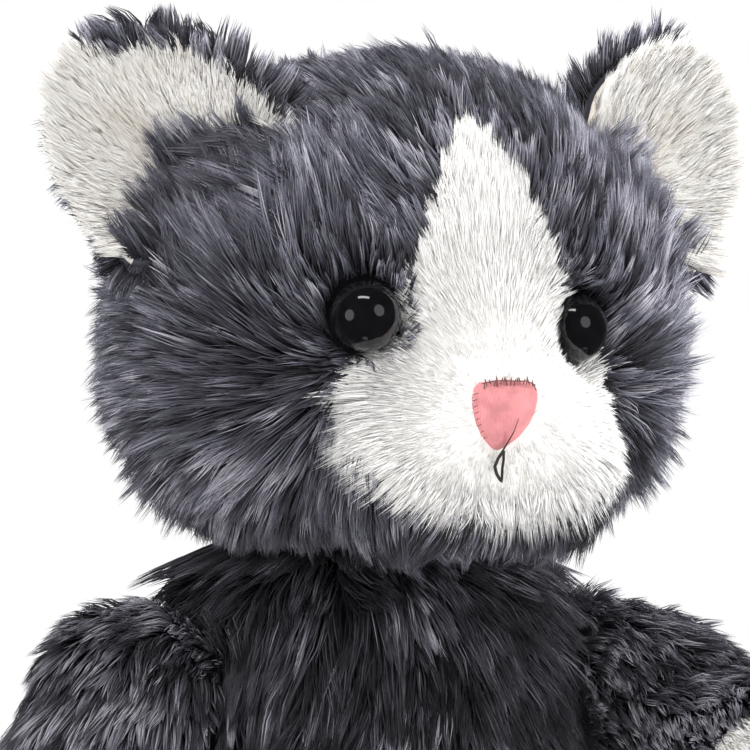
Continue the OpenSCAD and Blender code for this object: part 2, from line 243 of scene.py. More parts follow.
def fur(name, P, N, D, L, W, mat, body, slotname, seed, tone, lean=(0.55, 1.35), clump=0.7, per=7, jitter=0.25, wave=0.0,
        sag=0.12, rings=3, clamp=None, big=None, flat=0.4, spread=0.6, locks=0.4, contrast=0.20):
    """Tapered closed strands of pile. P roots, N normals, D comb direction, L lengths, W widths, tone 0..1."""
    rng = np.random.default_rng(seed)
    k = len(P)
    D = unit(D - (D * N).sum(1, keepdims=True) * N)
    B = np.cross(N, D)
    a = jitter * rng.standard_normal(k) + (big(P) if big is not None else 0)
    D = D * np.cos(a)[:, None] + B * np.sin(a)[:, None]
    B = np.cross(N, D)
    s = np.linspace(0, 1, rings + 1)
    l0 = lean[0] + 0.15 * rng.standard_normal(k)
    l1 = lean[1] + 0.12 * rng.standard_normal(k)
    C = np.zeros((k, rings + 1, 3))
    C[:, 0] = P - N * 0.4
    L = L * (1 + 0.16 * rng.standard_normal(k)).clip(0.5, 1.5)
    steps = 6
    pos = C[:, 0].copy()
    want = 1
    for j in range(1, steps * rings + 1):
        t = (j - 0.5) / (steps * rings)
        th = l0 + (l1 - l0) * t ** 0.8
        d = N * np.cos(th)[:, None] + D * np.sin(th)[:, None] + B * (wave * np.sin(t * 5 + a * 9))[:, None]
        d[:, 2] -= sag * t
        pos = pos + unit(d) * (L / (steps * rings))[:, None]
        if j % steps == 0:
            C[:, want] = pos
            want += 1
    ctone = np.zeros(k)
    if clump > 0:
        nc = max(4, k // per)
        cen = rng.choice(k, nc, replace=False)
        tree = kdtree.KDTree(nc)
        for i, p in enumerate(P[cen]):
            tree.insert(p, i)
        tree.balance()
        own = np.fromiter((tree.find(p)[1] for p in P), int, k)
        G = C[cen][own]
        w = (clump * s ** 1.1)[None, :, None] * (0.75 + 0.5 * rng.random(k))[:, None, None]
        w = np.clip(w, 0, 0.97)
        C = C * (1 - w) + G * w
        off = rng.standard_normal((k, 1, 3)) * spread * s[None, :, None]
        C = C + off
        ctone = (rng.standard_normal(nc) * contrast)[own]
        if locks > 0:
            # whole locks lean together, which leaves dark valleys between them
            nb = max(3, nc // 6)
            cb = rng.choice(k, nb, replace=False)
            tree = kdtree.KDTree(nb)
            for i, p in enumerate(P[cb]):
                tree.insert(p, i)
            tree.balance()
            lead = np.fromiter((tree.find(p)[1] for p in P), int, k)
            w = np.clip((locks * s ** 1.5)[None, :, None], 0, 0.9)
            C = C * (1 - w) + C[cb][lead] * w
            ctone = ctone + (rng.standard_normal(nb) * contrast * 0.6)[lead]
    if clamp is not None:
        sh = C.shape
        C = clamp(C.reshape(-1, 3)).reshape(sh)
    T = np.gradient(C, axis=1)
    T = unit(T)
    side = unit(np.cross(T, N[:, None, :]) + 1e-6)
    up = np.cross(side, T)
    prof = np.interp(s, [0, 0.3, 0.7, 1], [0.9, 1.0, 0.62, 0.0])
    ang = rng.random(k) * 0.8
    V = np.zeros((k, rings * 3 + 1, 3))
    UV = np.zeros((k, rings * 3 + 1, 2))
    u = np.clip(tone + ctone + 0.11 * rng.standard_normal(k), 0.02, 0.98)
    for r in range(rings):
        for q in range(3):
            t = 2 * math.pi * q / 3 + ang
            V[:, r * 3 + q] = C[:, r] + side[:, r] * (np.cos(t) * W * prof[r] / 2)[:, None] + up[:, r] * (np.sin(t) * W * prof[r] / 2 * flat * 1.6)[:, None]
            UV[:, r * 3 + q, 0] = u + (q - 1) * 0.005
            UV[:, r * 3 + q, 1] = 0.02 + 0.96 * s[r]
    V[:, -1] = C[:, -1]
    UV[:, -1] = np.stack([u, np.full(k, 0.98)], 1)
    F = []
    for r in range(rings - 1):
        for q in range(3):
            a0, a1 = r * 3 + q, r * 3 + (q + 1) % 3
            F += [[a0, a1, a1 + 3], [a0, a1 + 3, a0 + 3]]
    e = (rings - 1) * 3
    F += [[e, e + 1, rings * 3], [e + 1, e + 2, rings * 3], [e + 2, e, rings * 3], [2, 1, 0]]
    F = np.array(F)
    # split by place so that each piece stays a moderate size
    parts = max(1, math.ceil(k / MAXS))
    key = np.argsort(P[:, 0] * 0.3 + P[:, 2]) if parts > 1 else np.arange(k)
    for i, idx in enumerate(np.array_split(key, parts)):
        m = len(idx)
        Fi = (F[None] + (np.arange(m) * (rings * 3 + 1))[:, None, None]).reshape(-1, 3)
        ob = make(name if parts == 1 else f"{name}_{i + 1}", V[idx].reshape(-1, 3), Fi, mat, UV[idx].reshape(-1, 2))
        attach(ob, body)
    return k


# ------------------------------------------------------------------ materials
def nt(name):
    m = bpy.data.materials.new(name)
    m.use_nodes = True
    t = m.node_tree
    t.nodes.clear()
    out = t.nodes.new("ShaderNodeOutputMaterial")
    b = t.nodes.new("ShaderNodeBsdfPrincipled")
    t.links.new(b.outputs[0], out.inputs[0])
    return m, t, b


def ramp(t, src, stops, mode="LINEAR"):
    r = t.nodes.new("ShaderNodeValToRGB")
    r.color_ramp.interpolation = mode
    e = r.color_ramp.elements
    while len(e) < len(stops):
        e.new(0.5)
    for x, (p, c) in zip(e, stops):
        x.position = p
        x.color = (*c, 1) if len(c) == 3 else c
    t.links.new(src, r.inputs[0])
    return r.outputs[0]


def mix(t, kind, fac, a, b):
    m = t.nodes.new("ShaderNodeMix")
    m.data_type = "RGBA"
    m.blend_type = kind
    if isinstance(fac, float):
        m.inputs[0].default_value = fac
    else:
        t.links.new(fac, m.inputs[0])
    for s, x in ((6, a), (7, b)):
        if isinstance(x, tuple):
            m.inputs[s].default_value = (*x, 1)
        else:
            t.links.new(x, m.inputs[s])
    return m.outputs[2]


def fur_mat(name, tones, along, rough=0.55, spec=0.35, sheen=0.0, streak=0.18):
    """Colour by u (each strand's own tone) and v (root to tip), both kept in the piece's own map. The v ramp darkens
    each strand towards its root, painted shade deep in the pile, and lightens its tip.
    """
    m, t, b = nt(name)
    uvn = t.nodes.new("ShaderNodeUVMap")
    uvn.uv_map = "OFBake"
    sep = t.nodes.new("ShaderNodeSeparateXYZ")
    t.links.new(uvn.outputs[0], sep.inputs[0])
    c1 = ramp(t, sep.outputs[0], tones)
    # root-to-tip ramp: painted shade, darkest at the root where the pile is deep
    c2 = ramp(t, sep.outputs[1], along)
    c = mix(t, "MULTIPLY", 1.0, c1, c2)
    mp = t.nodes.new("ShaderNodeMapping")
    mp.inputs["Scale"].default_value = (60, 2.2, 1)
    t.links.new(uvn.outputs[0], mp.inputs[0])
    nz = t.nodes.new("ShaderNodeTexNoise")
    nz.inputs["Scale"].default_value = 1.0
    nz.inputs["Detail"].default_value = 2.0
    t.links.new(mp.outputs[0], nz.inputs[0])
    g = ramp(t, nz.outputs[0], [(0.3, (1 - streak,) * 3), (0.7, (1 + 0.0,) * 3)])
    c = mix(t, "MULTIPLY", 1.0, c, g)
    t.links.new(c, b.inputs["Base Color"])
    b.inputs["Roughness"].default_value = rough
    b.inputs["Specular IOR Level"].default_value = spec
    b.inputs["Sheen Weight"].default_value = sheen
    b.inputs["Sheen Roughness"].default_value = 0.4
    b.inputs["Sheen Tint"].default_value = (0.8, 0.8, 0.9, 1)
    return m


# each fur's second ramp runs root to tip and is painted shade: dark at the root, full colour towards the tip
GREY = fur_mat("plush_grey", [(0.0, (0.022, 0.022, 0.027)), (0.28, (0.058, 0.057, 0.073)), (0.55, (0.118, 0.117, 0.150)), (0.78, (0.25, 0.25, 0.31)), (1.0, (0.56, 0.55, 0.61))],
               [(0.0, (0.10, 0.10, 0.10)), (0.35, (0.42, 0.42, 0.43)), (0.75, (1, 1, 1)), (1.0, (1.25, 1.25, 1.25))], rough=0.45, spec=0.45, sheen=0.1)
# a darker copy of the grey pile, used on the body: painted shade
GREY_SHADED = fur_mat("plush_grey_shaded", [(0.0, (0.012, 0.012, 0.014)), (0.28, (0.030, 0.030, 0.037)), (0.55, (0.068, 0.068, 0.084)), (0.78, (0.17, 0.17, 0.205)), (1.0, (0.44, 0.43, 0.48))],
               [(0.0, (0.10, 0.10, 0.10)), (0.35, (0.42, 0.42, 0.43)), (0.75, (1, 1, 1)), (1.0, (1.25, 1.25, 1.25))], rough=0.45, spec=0.45, sheen=0.1)
WHITE = fur_mat("plush_white", [(0.0, (0.80, 0.765, 0.73)), (0.4, (0.90, 0.885, 0.86)), (0.7, (0.94, 0.93, 0.915)), (1.0, (0.97, 0.965, 0.955))],
                [(0.0, (0.93, 0.92, 0.90)), (0.4, (0.99, 0.985, 0.98)), (1.0, (1, 1, 1))], rough=0.75, spec=0.15, streak=0.03)
# the lining's brown-beige low end serves the painted shade in the fold at the ear's base
LINING = fur_mat("plush_lining", [(0.0, (0.60, 0.52, 0.45)), (0.35, (0.80, 0.755, 0.70)), (0.7, (0.89, 0.87, 0.84)), (1.0, (0.95, 0.94, 0.925))],
                 [(0.0, (0.88, 0.86, 0.83)), (0.4, (0.98, 0.975, 0.965)), (1.0, (1, 1, 1))], rough=0.75, spec=0.15, streak=0.04)
SOLE = fur_mat("sole_nap", [(0.0, (0.50, 0.34, 0.30)), (0.5, (0.68, 0.50, 0.46)), (1.0, (0.80, 0.64, 0.60))],
               [(0.0, (0.7, 0.66, 0.64)), (1.0, (1, 1, 1))], rough=0.8, spec=0.15, streak=0.06)

rng0 = np.random.default_rng(11)

# ------------------------------------------------------------------ the head
EYES = {-1: np.array([-27.0, 0, 218.5]), 1: np.array([27.0, 0, 215.5])}
for sd, c in EYES.items():
    c[1] = -14 - math.sqrt(51 ** 2 - (c[2] - 220) ** 2 - 15 ** 2) + 2.2
EYES[-1] += np.array([-1.2, 0.0, -0.7])
EYES[1] += np.array([-2.9, 4.0, 0.0])     # the second eye sits a little closer in and deeper, half under the white pile
NOSE = np.array([0.0, -76.0, 195.5])


def head_f(p):
    q = p.copy()
    q[:, 2] = 220 + (p[:, 2] - 220) / 1.08
    f = cap(q, (-12.5, -15, 220), (12.5, -15, 220), 46.8)
    f = smin(f, sph(p, (0, -27, 235), 35.5), 12)
    for s in (-1, 1):
        f = smin(f, sph(p, (s * 29, -17, 203), 29.5), 14)
        f = smin(f, sph(p, (s * 13.5, -55.5, 187.5), 18.5), 7)
        f = smin(f, cap(p, (s * 8, -55, 200), (s * 6, -46, 229), 15.5), 8)
    f = smin(f, cap(p, (0, -55.5, 196), (0, -52, 214), 17.5), 5)
    f = smin(f, sph(p, (0, -54, 181), 14.5), 6)
    # the flat round base that holds the neck disc
    f = smin(f, np.maximum(np.hypot(p[:, 0], p[:, 1]) - 24.5, p[:, 2] - 200), 5)
    for s, c in EYES.items():
        f = smax(f, -sph(p, c + np.array([s * 0.6, -1.4, 0]), 9.4), 2.5)
    return smax(f, 169.8 - p[:, 2], 4)


def white_face(p, wob=1.0):
    """Above zero on the blaze and the muzzle."""
    x, y, z = p.T
    half = np.interp(z, [168, 209, 213, 217, 224, 236, 245, 253, 260], [34, 27.5, 21, 18, 17.4, 13.2, 9.8, 5.4, 0.2])
    half = np.where(z > 260, -5 - (z - 260), half)
    blaze = np.where(z > 200, half - np.abs(x), -30)
    muz = (1 - (np.abs(x / 30.3) ** 2.4 + np.abs((z - 196.5) / 19.8) ** 2.4)) * 16
    w = np.maximum(blaze, muz)
    for sd_, c in EYES.items():
        w = np.minimum(w, (np.linalg.norm(p - c, axis=1) - (10.6 if sd_ < 0 else 8.6)) * 1.5)
    w = w + wob * 1.3 * noise(p, 3.5, 31)
    return np.where(y < -36, w, -20)


def eye_near(p):
    d = np.full(len(p), 1e9)
    away = np.zeros_like(p)
    for c in EYES.values():
        r = p - c
        q = np.linalg.norm(r, axis=1)
        m = q < d
        d[m] = q[m]
        away[m] = (r / q[:, None])[m]
    return d, away


hv, hf = star(HEAD_C - (4, 0, 0), HEAD_C + (4, 0, 0), head_f, 90, 6)
hv = relax(hv, hf, 3)
hn = vnormals(hv, hf)


def k_white(c):
    return (white_face(c, 0.0) > 0).astype(float)


def k_back(c):
    return ((c[:, 1] > 12) & (k_white(c) < 0.5)).astype(float)


backing("muzzle_skin", hv, hf, hn, lambda c: k_white(c) * (c[:, 2] < 210), WHITE, "head", ["muzzle_panel", "head_stuffing"], 0.5)
backing("blaze_skin", hv, hf, hn, lambda c: k_white(c) * (c[:, 2] >= 210), WHITE, "head", ["blaze_panel"], 0.5)
backing("head_back_skin", hv, hf, hn, k_back, GREY, "head", ["head_back"], 0.3)
for sd, nm in ((-1, "right"), (1, "left")):
    backing(f"head_side_{nm}_skin", hv, hf, hn, lambda c, s=sd: (c[:, 0] * s > 0) * (1 - k_white(c)) * (1 - k_back(c)), GREY, "head", [f"head_side_{nm}"], 0.3)


def split_z(r):
    """The surface of revolution round the neck that parts the head's pile from the body's."""
    return 168.0 - 0.42 * np.maximum(0, r - 31)


def head_clamp(q):
    q = q.copy()
    q[:, 2] = np.maximum(q[:, 2], split_z(np.hypot(q[:, 0], q[:, 1])) + 0.4)
    for s, c in EYES.items():
        o = c + np.array([s * 0.4, -0.9, 0])
        d = q - o
        r = np.linalg.norm(d, axis=1)
        near = r < 8.9
        q[near] = o + d[near] / np.maximum(r[near], 1e-6)[:, None] * 8.9
    return q


def head_comb(P, N):
    x = P[:, 0]
    D0 = unit((P - np.array([0, -66.0, 204.0])) * (1, 1, 1.25))
    S1 = np.stack([np.sign(x) * 25, 0 * x - 58, 0 * x + 204], 1)
    D1 = unit((P - S1) * (1, 1, 1.8))
    w = np.maximum(sstep(238, 264, P[:, 2]), sstep(30, 15, np.abs(x)))[:, None]
    D = unit(D0 * w + D1 * (1 - w))
    edge = sstep(48, 62, np.abs(x))
    D[:, 2] -= 0.35 * edge * sstep(245, 215, P[:, 2])
    back = sstep(-5, 30, P[:, 1])
    D[:, 2] -= 0.9 * back
    low = sstep(190, 172, P[:, 2])
    D[:, 2] -= 0.5 * low
    d, away = eye_near(P)
    k = 1.8 * sstep(17, 8, d)
    k = np.where((x > 0) & (white_face(P, 0) > 0), 0.0, k)
    return unit(D + away * k[:, None])


def head_big(P):
    return 0.48 * noise(P, 20, 41) + 0.24 * noise(P, 8, 42)


def tone_of(P, mid, amp=0.16, seed=51):
    return mid + amp * noise(P, 12, seed) + amp * 0.7 * noise(P, 4.5, seed + 1)


def head_len(P, base):
    d, _ = eye_near(P)
    w = white_face(P, 0)
    L = base * (0.78 + 0.32 * sstep(262, 225, P[:, 2]) + 0.12 * noise(P, 9, 61))
    L = L * (0.42 + 0.58 * sstep(8.5, 20, d))
    L = L * (np.where(P[:, 2] < 212, 0.38, 0.5) + np.where(P[:, 2] < 212, 0.62, 0.5) * sstep(1, -13, w))
    L = L * (1 - 0.3 * sstep(192, 176, P[:, 2])) * (1 - 0.15 * sstep(50, 62, np.abs(P[:, 0])))
    return L


rng = np.random.default_rng(101)
front = lambda c: (1 - (white_face(c, 0) > 1.5)) * (c[:, 1] <= 12) * (np.minimum.reduce([np.linalg.norm(c - e, axis=1) for e in EYES.values()]) > 8.6) * (c[:, 2] > 171.5)
ar = area(hv, hf, front)
P, N = roots(hv, hf, hn, ar * 3.0 * DENS, rng, front, weight=lambda c: 1.0 - 0.35 * sstep(-25, 12, c[:, 1]))
m = (white_face(P) < 0) & (eye_near(P)[0] > 8.8)
P, N = P[m], N[m]
for sd, nm in ((-1, "right"), (1, "left")):
    q = P[:, 0] * sd > 0
    p, n = P[q], N[q]
    # the far cheek's strands (x from 20 to 50 mm) get a lighter tone: painted light standing in for the rim light on
    # that side
    fur(f"head_side_{nm}_pile", p, n, head_comb(p, n), head_len(p, 17.0), 0.36 + 0.10 * rng.random(len(p)), GREY, "head", "fur_grey", 200 + sd,
        tone_of(p, 0.50) + 0.20 * sstep(20, 50, p[:, 0]),
        lean=(0.85, 1.44), clump=0.80, per=8, jitter=0.11, big=head_big, sag=0.10, clamp=head_clamp, spread=0.35, locks=0.28)
ar = area(hv, hf, k_back)
P, N = roots(hv, hf, hn, ar * 1.3 * DENS, rng, k_back)
fur("head_back_pile", P, N, head_comb(P, N), 13 + 2 * noise(P, 9, 62), 0.6 + 0.1 * rng.random(len(P)), GREY, "head", "fur_grey", 203, tone_of(P, 0.48),
    clump=0.8, per=9, jitter=0.16, big=head_big, clamp=head_clamp)

# white face: short and smooth at the nose, longer towards its edges
wk = lambda c: (white_face(c, 0) > -1.5) * (np.linalg.norm((c - NOSE) * (1, 0.3, 1), axis=1) > 5.5)
ar = area(hv, hf, wk)
P, N = roots(hv, hf, hn, ar * 7.0 * DENS, rng, wk)
w = white_face(P)
m = (w > 0) & (eye_near(P)[0] > 8.8)
P, N, w = P[m], N[m], w[m]
dn = np.linalg.norm(P - NOSE, axis=1)
D = unit(P - NOSE - np.array([0, -8, 2.0]))
D[:, 2] -= 0.25 * sstep(200, 180, P[:, 2])
L = 2.8 + 4.4 * sstep(9, 34, dn) + 4.5 * sstep(9, 0.5, w) * sstep(214, 200, P[:, 2])
L = np.where(P[:, 2] > 212, np.minimum(L, 7.0), L) * np.where(P[:, 0] > 0, 1.1, 0.5 + 0.5 * sstep(8, 14, eye_near(P)[0]))
fur("white_face_pile", P, N, D, L, 0.27 + 0.08 * rng.random(len(P)), WHITE, "head", "fur_white", 210, 0.66 + 0.10 * noise(P, 11, 71) + 0.05 * noise(P, 4, 72),
    lean=(1.30, 1.52), clump=0.40, per=10, jitter=0.09, sag=0.03, rings=2, clamp=head_clamp, big=lambda p: 0.14 * noise(p, 10, 73), spread=0.18, locks=0.0, contrast=0.04)
# tufts along the edge of the white, lying over the grey
edge_k = lambda c: (white_face(c, 0) > -0.5) * (white_face(c, 0) < 5.0) * (c[:, 2] > 172) * (1.0 + 0 * c[:, 0])
ar = area(hv, hf, edge_k)
P, N = roots(hv, hf, hn, ar * 3.4 * DENS, rng, edge_k)
m = (eye_near(P)[0] > np.where(P[:, 0] > 0, 9.0, 11.5))
P, N = P[m], N[m]
D = unit(P - NOSE - np.array([0, -8, 2.0]))
D[:, 2] -= 0.25 * sstep(205, 182, P[:, 2])
L = np.where(P[:, 2] < 210, 8.5, 5.5) - 2.5 * sstep(186, 178, P[:, 2]) + 1.5 * noise(P, 5, 74)
en_ = eye_near(P)[0]
L = np.where(P[:, 0] < 0, L * (0.55 + 0.45 * sstep(11, 18, en_)), L + 3.5 * sstep(16, 10, en_))
fur("white_fringe_pile", P, N, D, L, 0.32 + 0.10 * rng.random(len(P)), WHITE, "head", "fur_white", 211, 0.66 + 0.08 * noise(P, 5, 75),
    lean=(0.98, 1.38), clump=0.80, per=9, jitter=0.12, sag=0.12, rings=3, clamp=head_clamp, big=lambda p: 0.22 * noise(p, 8, 76), spread=0.3, locks=0.2, contrast=0.05)

# ------------------------------------------------------------------ ears
EW, EH = 46.0, 39.0


def ear_xform(side):
    def tf(v, vec=False):
        b, c = math.radians(44), math.radians(16)
        Ry = np.array([[math.cos(b), 0, math.sin(b)], [0, 1, 0], [-math.sin(b), 0, math.cos(b)]])
        Rz = np.array([[math.cos(c), -math.sin(c), 0], [math.sin(c), math.cos(c), 0], [0, 0, 1]])
        w = v @ (Rz @ Ry).T
        if not vec:
            w = w + np.array([53.0, -31, 246.0])
        w = w.copy()
        w[:, 0] *= side
        return w
    return tf


def ear_grid(na=96, nr=26):
    a = np.linspace(0, 2 * math.pi, na, endpoint=False)
    sn, cs = np.sin(a), np.cos(a)
    ex = EW / 2 * cs * (1 - 0.13 * np.maximum(sn, 0) ** 2)
    ez = np.where(sn > 0, EH * np.abs(sn) ** 0.72, EH * 0.16 * sn)
    pts = [[0.0, EH * 0.42]]
    for r in range(1, nr + 1):
        t = r / nr
        pts += list(zip(ex * t, EH * 0.42 + (ez - EH * 0.42) * t))
    pts = np.array(pts)
    F = [[0, 1 + i, 1 + (i + 1) % na] for i in range(na)]
    for r in range(nr - 1):
        for i in range(na):
            p0, p1 = 1 + r * na + i, 1 + r * na + (i + 1) % na
            F += [[p0, p0 + na, p1 + na], [p0, p1 + na, p1]]
    x, z = pts.T
    # cupped: both sides of the base come forward, the rim rolls a little forward too
    y = 6.0 - 0.0125 * x ** 2 - 0.004 * (z - 16) ** 2 - 5.0 * sstep(12, -6, z) * (np.abs(x) / 23) ** 2
    return np.stack([x, y, z], 1), np.array(F)


def ear_grey(w, side):
    """Above zero where the front of the ear carries the grey pile: the inner lower corner and the rolled top edge."""
    s, z = -np.abs(w[:, 0]) * 0.902 - w[:, 1] * 0.432, w[:, 2]
    inner = s - np.interp(z, [226, 232.7, 240, 245, 248, 251, 254, 257, 259], [-58, -52, -45.5, -44, -43.5, -46, -38.5, -20, -13.5])
    inner = np.where(z > 259, -9.0, inner)
    top = z - np.interp(s, [-72.8, -69.5, -64, -53, -46.7, -37.2, -29.1, -21.8, -13.5], [263.2, 272, 276.7, 276.4, 278.5, 277, 271.8, 264.5, 256.6]) + 2.2
    # the two ears are folded a little differently: the left one shows more of its lining
    return (inner - 5.0, top - 6.0) if side > 0 else (inner, top)


ev, ef = ear_grid()
en = vnormals(ev, ef)
if en[0, 1] > 0:
    ef = ef[:, ::-1]
    en = vnormals(ev, ef)
for side, nm in ((-1, "right"), (1, "left")):
    tf = ear_xform(side)
    Vf, Ff = shell(ev, ef, en, 1.5)
    Vb, Fb = shell(ev - en * 1.7, ef, en, 1.5)
    gi, gt = ear_grey(tf(ev)[ef].mean(1), side)
    fg = np.maximum(gi - 4.0, gt) > 0
    Vf, Ff = shell(ev, ef[~fg], en, 1.5)
    Vg, Fg = shell(ev, ef[fg], en, 1.5)
    for tag, V, F, mat, node, sl, tn in (("lining", Vf, Ff, LINING, f"ear_lining_{nm}", "ear_lining", 0.35), ("back", Vb, Fb, GREY, f"ear_back_{nm}", "fur_grey", 0.3), ("front", Vg, Fg, GREY, None, "fur_grey", 0.3)):
        Vw = tf(V)
        Fw = F if side > 0 else F[:, ::-1]
        uv = np.stack([np.clip(tn + 0.1 * noise(V, 6, 9), 0.05, 0.95), 0.5 + 0.1 * noise(V, 3, 10)], 1)
        ob = make(f"ear_{tag}_{nm}_cloth", Vw, Fw, mat, uv)
        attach(ob, "head")
        if node:
            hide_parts(node)
    outer = lambda p: head_f(p) > 0.5
    ar = area(ev, ef)
    P, N = roots(ev, ef, en, ar * 7.0 * DENS, rng)
    D = unit(P - np.array([0, 0, -4.0]) + 1e-6)
    rim = np.sqrt((P[:, 0] / (EW / 2)) ** 2 + ((P[:, 2] - EH * 0.35) / (EH * 0.65)) ** 2)
    L = 7.0 + 1.5 * noise(P, 6, 81) + 2.5 * sstep(0.72, 1.0, rim)
    L = L * (1 - 0.25 * sstep(0, -14, P[:, 0]))
    # darker, browner lining down the fold at the ear's base: painted shade in the cup of the ear
    fold = np.exp(-((P[:, 0] - 1) / 5.0) ** 2) * sstep(34, 10, P[:, 2])
    tone = 0.74 - 0.42 * fold + 0.10 * noise(P, 7, 82)
    Pw, Nw, Dw = tf(P), tf(N, True), tf(D, True)
    gi, gt = ear_grey(Pw, side)
    m = outer(Pw) & (np.maximum(gi - 3.0, gt) < 0.8 * noise(Pw, 3, 84))
    mg = outer(Pw) & (np.maximum(gi - 3.0, gt) > -0.8) & (rng.random(len(Pw)) < 0.42)
    ig = gi > 0
    Dg = np.where(ig[:, None], np.array([side * 0.62, -0.1, 0.75]), Dw)
    fur(f"ear_front_{nm}_pile", Pw[mg], Nw[mg], Dg[mg], np.where(ig, 13.0 - 6.0 * (gt > -7), 7.5)[mg] + 1.5 * noise(Pw[mg], 6, 89), 0.36 + 0.1 * rng.random(mg.sum()), GREY, "head", "fur_grey", 225 + side, tone_of(Pw[mg], 0.46) + 0.05 * ig[mg],
        lean=(0.90, 1.42), clump=0.8, per=8, jitter=0.14, sag=0.04, big=lambda p: 0.3 * noise(p, 9, 90), spread=0.35, locks=0.3)
    fur(f"ear_lining_{nm}_pile", Pw[m], Nw[m], Dw[m], L[m], 0.28 + 0.09 * rng.random(m.sum()), LINING, "head", "ear_lining", 220 + side, tone[m],
        lean=(1.05, 1.48), clump=0.6, per=10, jitter=0.12, sag=0.06, big=lambda p: 0.22 * noise(p, 9, 83), spread=0.3, rings=2, locks=0.3, contrast=0.06)
    Nb = -en
    P, N = roots(ev - en * 3.2, ef[:, ::-1], Nb, ar * 2.6 * DENS, rng, weight=lambda c: 1 + 2.0 * (np.sqrt((c[:, 0] / (EW / 2)) ** 2 + ((c[:, 2] - EH * 0.35) / (EH * 0.65)) ** 2) > 0.86))
    rim = np.sqrt((P[:, 0] / (EW / 2)) ** 2 + ((P[:, 2] - EH * 0.35) / (EH * 0.65)) ** 2)
    D = unit(P - np.array([0, 0, -2.0]) + 1e-6)
    L = 8.5 + 1.5 * sstep(0.8, 1.0, rim) * sstep(4, -10, P[:, 0]) + 1.8 * noise(P, 6, 85)
    L = L * (1 - 0.62 * sstep(-4, 8, P[:, 0]) * sstep(0.70, 0.90, rim) * sstep(2, 10, P[:, 2]))
    Pw, Nw, Dw = tf(P), tf(N, True), tf(D, True)
    m = outer(Pw)
    fur(f"ear_back_{nm}_pile", Pw[m], Nw[m], Dw[m], L[m], 0.5 + 0.1 * rng.random(m.sum()), GREY, "head", "fur_grey", 230 + side, tone_of(Pw[m], 0.46),
        lean=(0.92, 1.38), clump=0.75, per=8, jitter=0.16, sag=0.05, big=lambda p: 0.25 * noise(p, 9, 86))

    # short pile over the sewn edge all round, so that no cut edge of cloth shows from the side
    t_ = rng.random(1500) * 96
    i_ = t_.astype(int) % 96
    w_ = (t_ - np.floor(t_))[:, None]
    ring, rn = ev[-96:], en[-96:]
    P = ring[i_] * (1 - w_) + ring[(i_ + 1) % 96] * w_
    NN = unit(rn[i_] * (1 - w_) + rn[(i_ + 1) % 96] * w_)
    O = unit((P - np.array([0, 0, EH * 0.42])) * (1, 0, 1))
    dp = rng.random(len(P))
    P = P - NN * (dp * 3.6)[:, None] - O * 0.8
    Pw, Nw = tf(P), tf(O, True)
    gi, gt = ear_grey(Pw, side)
    plain_ = (dp < 0.38) & (np.maximum(gi, gt) < 0)
    for tag, sel, mat, sl, dr, tn in (("lining", plain_, LINING, "ear_lining", 1.0, 0.72), ("back", ~plain_, GREY, "fur_grey", -1.0, 0.42)):
        m = outer(Pw) & sel
        fur(f"ear_rim_{tag}_{nm}_pile", Pw[m], Nw[m], tf(NN * dr, True)[m], 4.6 + 0.8 * noise(Pw[m], 5, 98), 0.40 + 0.1 * rng.random(m.sum()), mat, "head", sl, 250 + side, tn + 0.1 * noise(Pw[m], 5, 99),
            lean=(0.35, 0.95), clump=0.5, per=7, jitter=0.3, sag=0.0, spread=0.4, rings=2, locks=0.2)

    # long pile of the head that lies over the foot of the ear
    base = np.array([side * 46.0, -40.0, 239.0])
    low_ = np.array([side * 57.0, -24.0, 226.0])
    kb_ = lambda c: ((np.linalg.norm((c - base) * (1, 1, 0.8), axis=1) < 17) | (np.linalg.norm(c - low_, axis=1) < 13)) * (white_face(c, 0) < -4) * (1.0 + 0 * c[:, 0])
    ar = area(hv, hf, kb_)
    P, N = roots(hv, hf, hn, ar * 2.2 * DENS, rng, kb_)
    D = unit(tf(np.array([[0.0, 0, 30.0]])) - P + 1e-6) + np.array([side * 0.3, -0.15, 0.1])
    fur(f"ear_base_{nm}_pile", P, N, D, 17 + 3 * noise(P, 6, 87), 0.36 + 0.1 * rng.random(len(P)), GREY, "head", "fur_grey", 240 + side, tone_of(P, 0.50),
        lean=(0.75, 1.30), clump=0.8, per=9, jitter=0.12, sag=0.0, big=lambda p: 0.3 * noise(p, 9, 88), spread=0.4, locks=0.3)

# ------------------------------------------------------------------ eyes, nose and mouth
def lathe(profile, n=64):
    v, f = [], []
    for r, z in profile:
        for i in range(n):
            a = 2 * math.pi * i / n
            v.append([r * math.cos(a), r * math.sin(a), z])
    k = len(profile)
    for j in range(k - 1):
        for i in range(n):
            a, b = j * n + i, j * n + (i + 1) % n
            f.append([a, b, b + n])
            f.append([a, b + n, a + n])
    v += [[0, 0, profile[0][1]], [0, 0, profile[-1][1]]]
    for i in range(n):
        f.append([k * n, (i + 1) % n, i])
        f.append([k * n + 1, (k - 1) * n + i, (k - 1) * n + (i + 1) % n])
    return np.array(v, float), np.array(f)


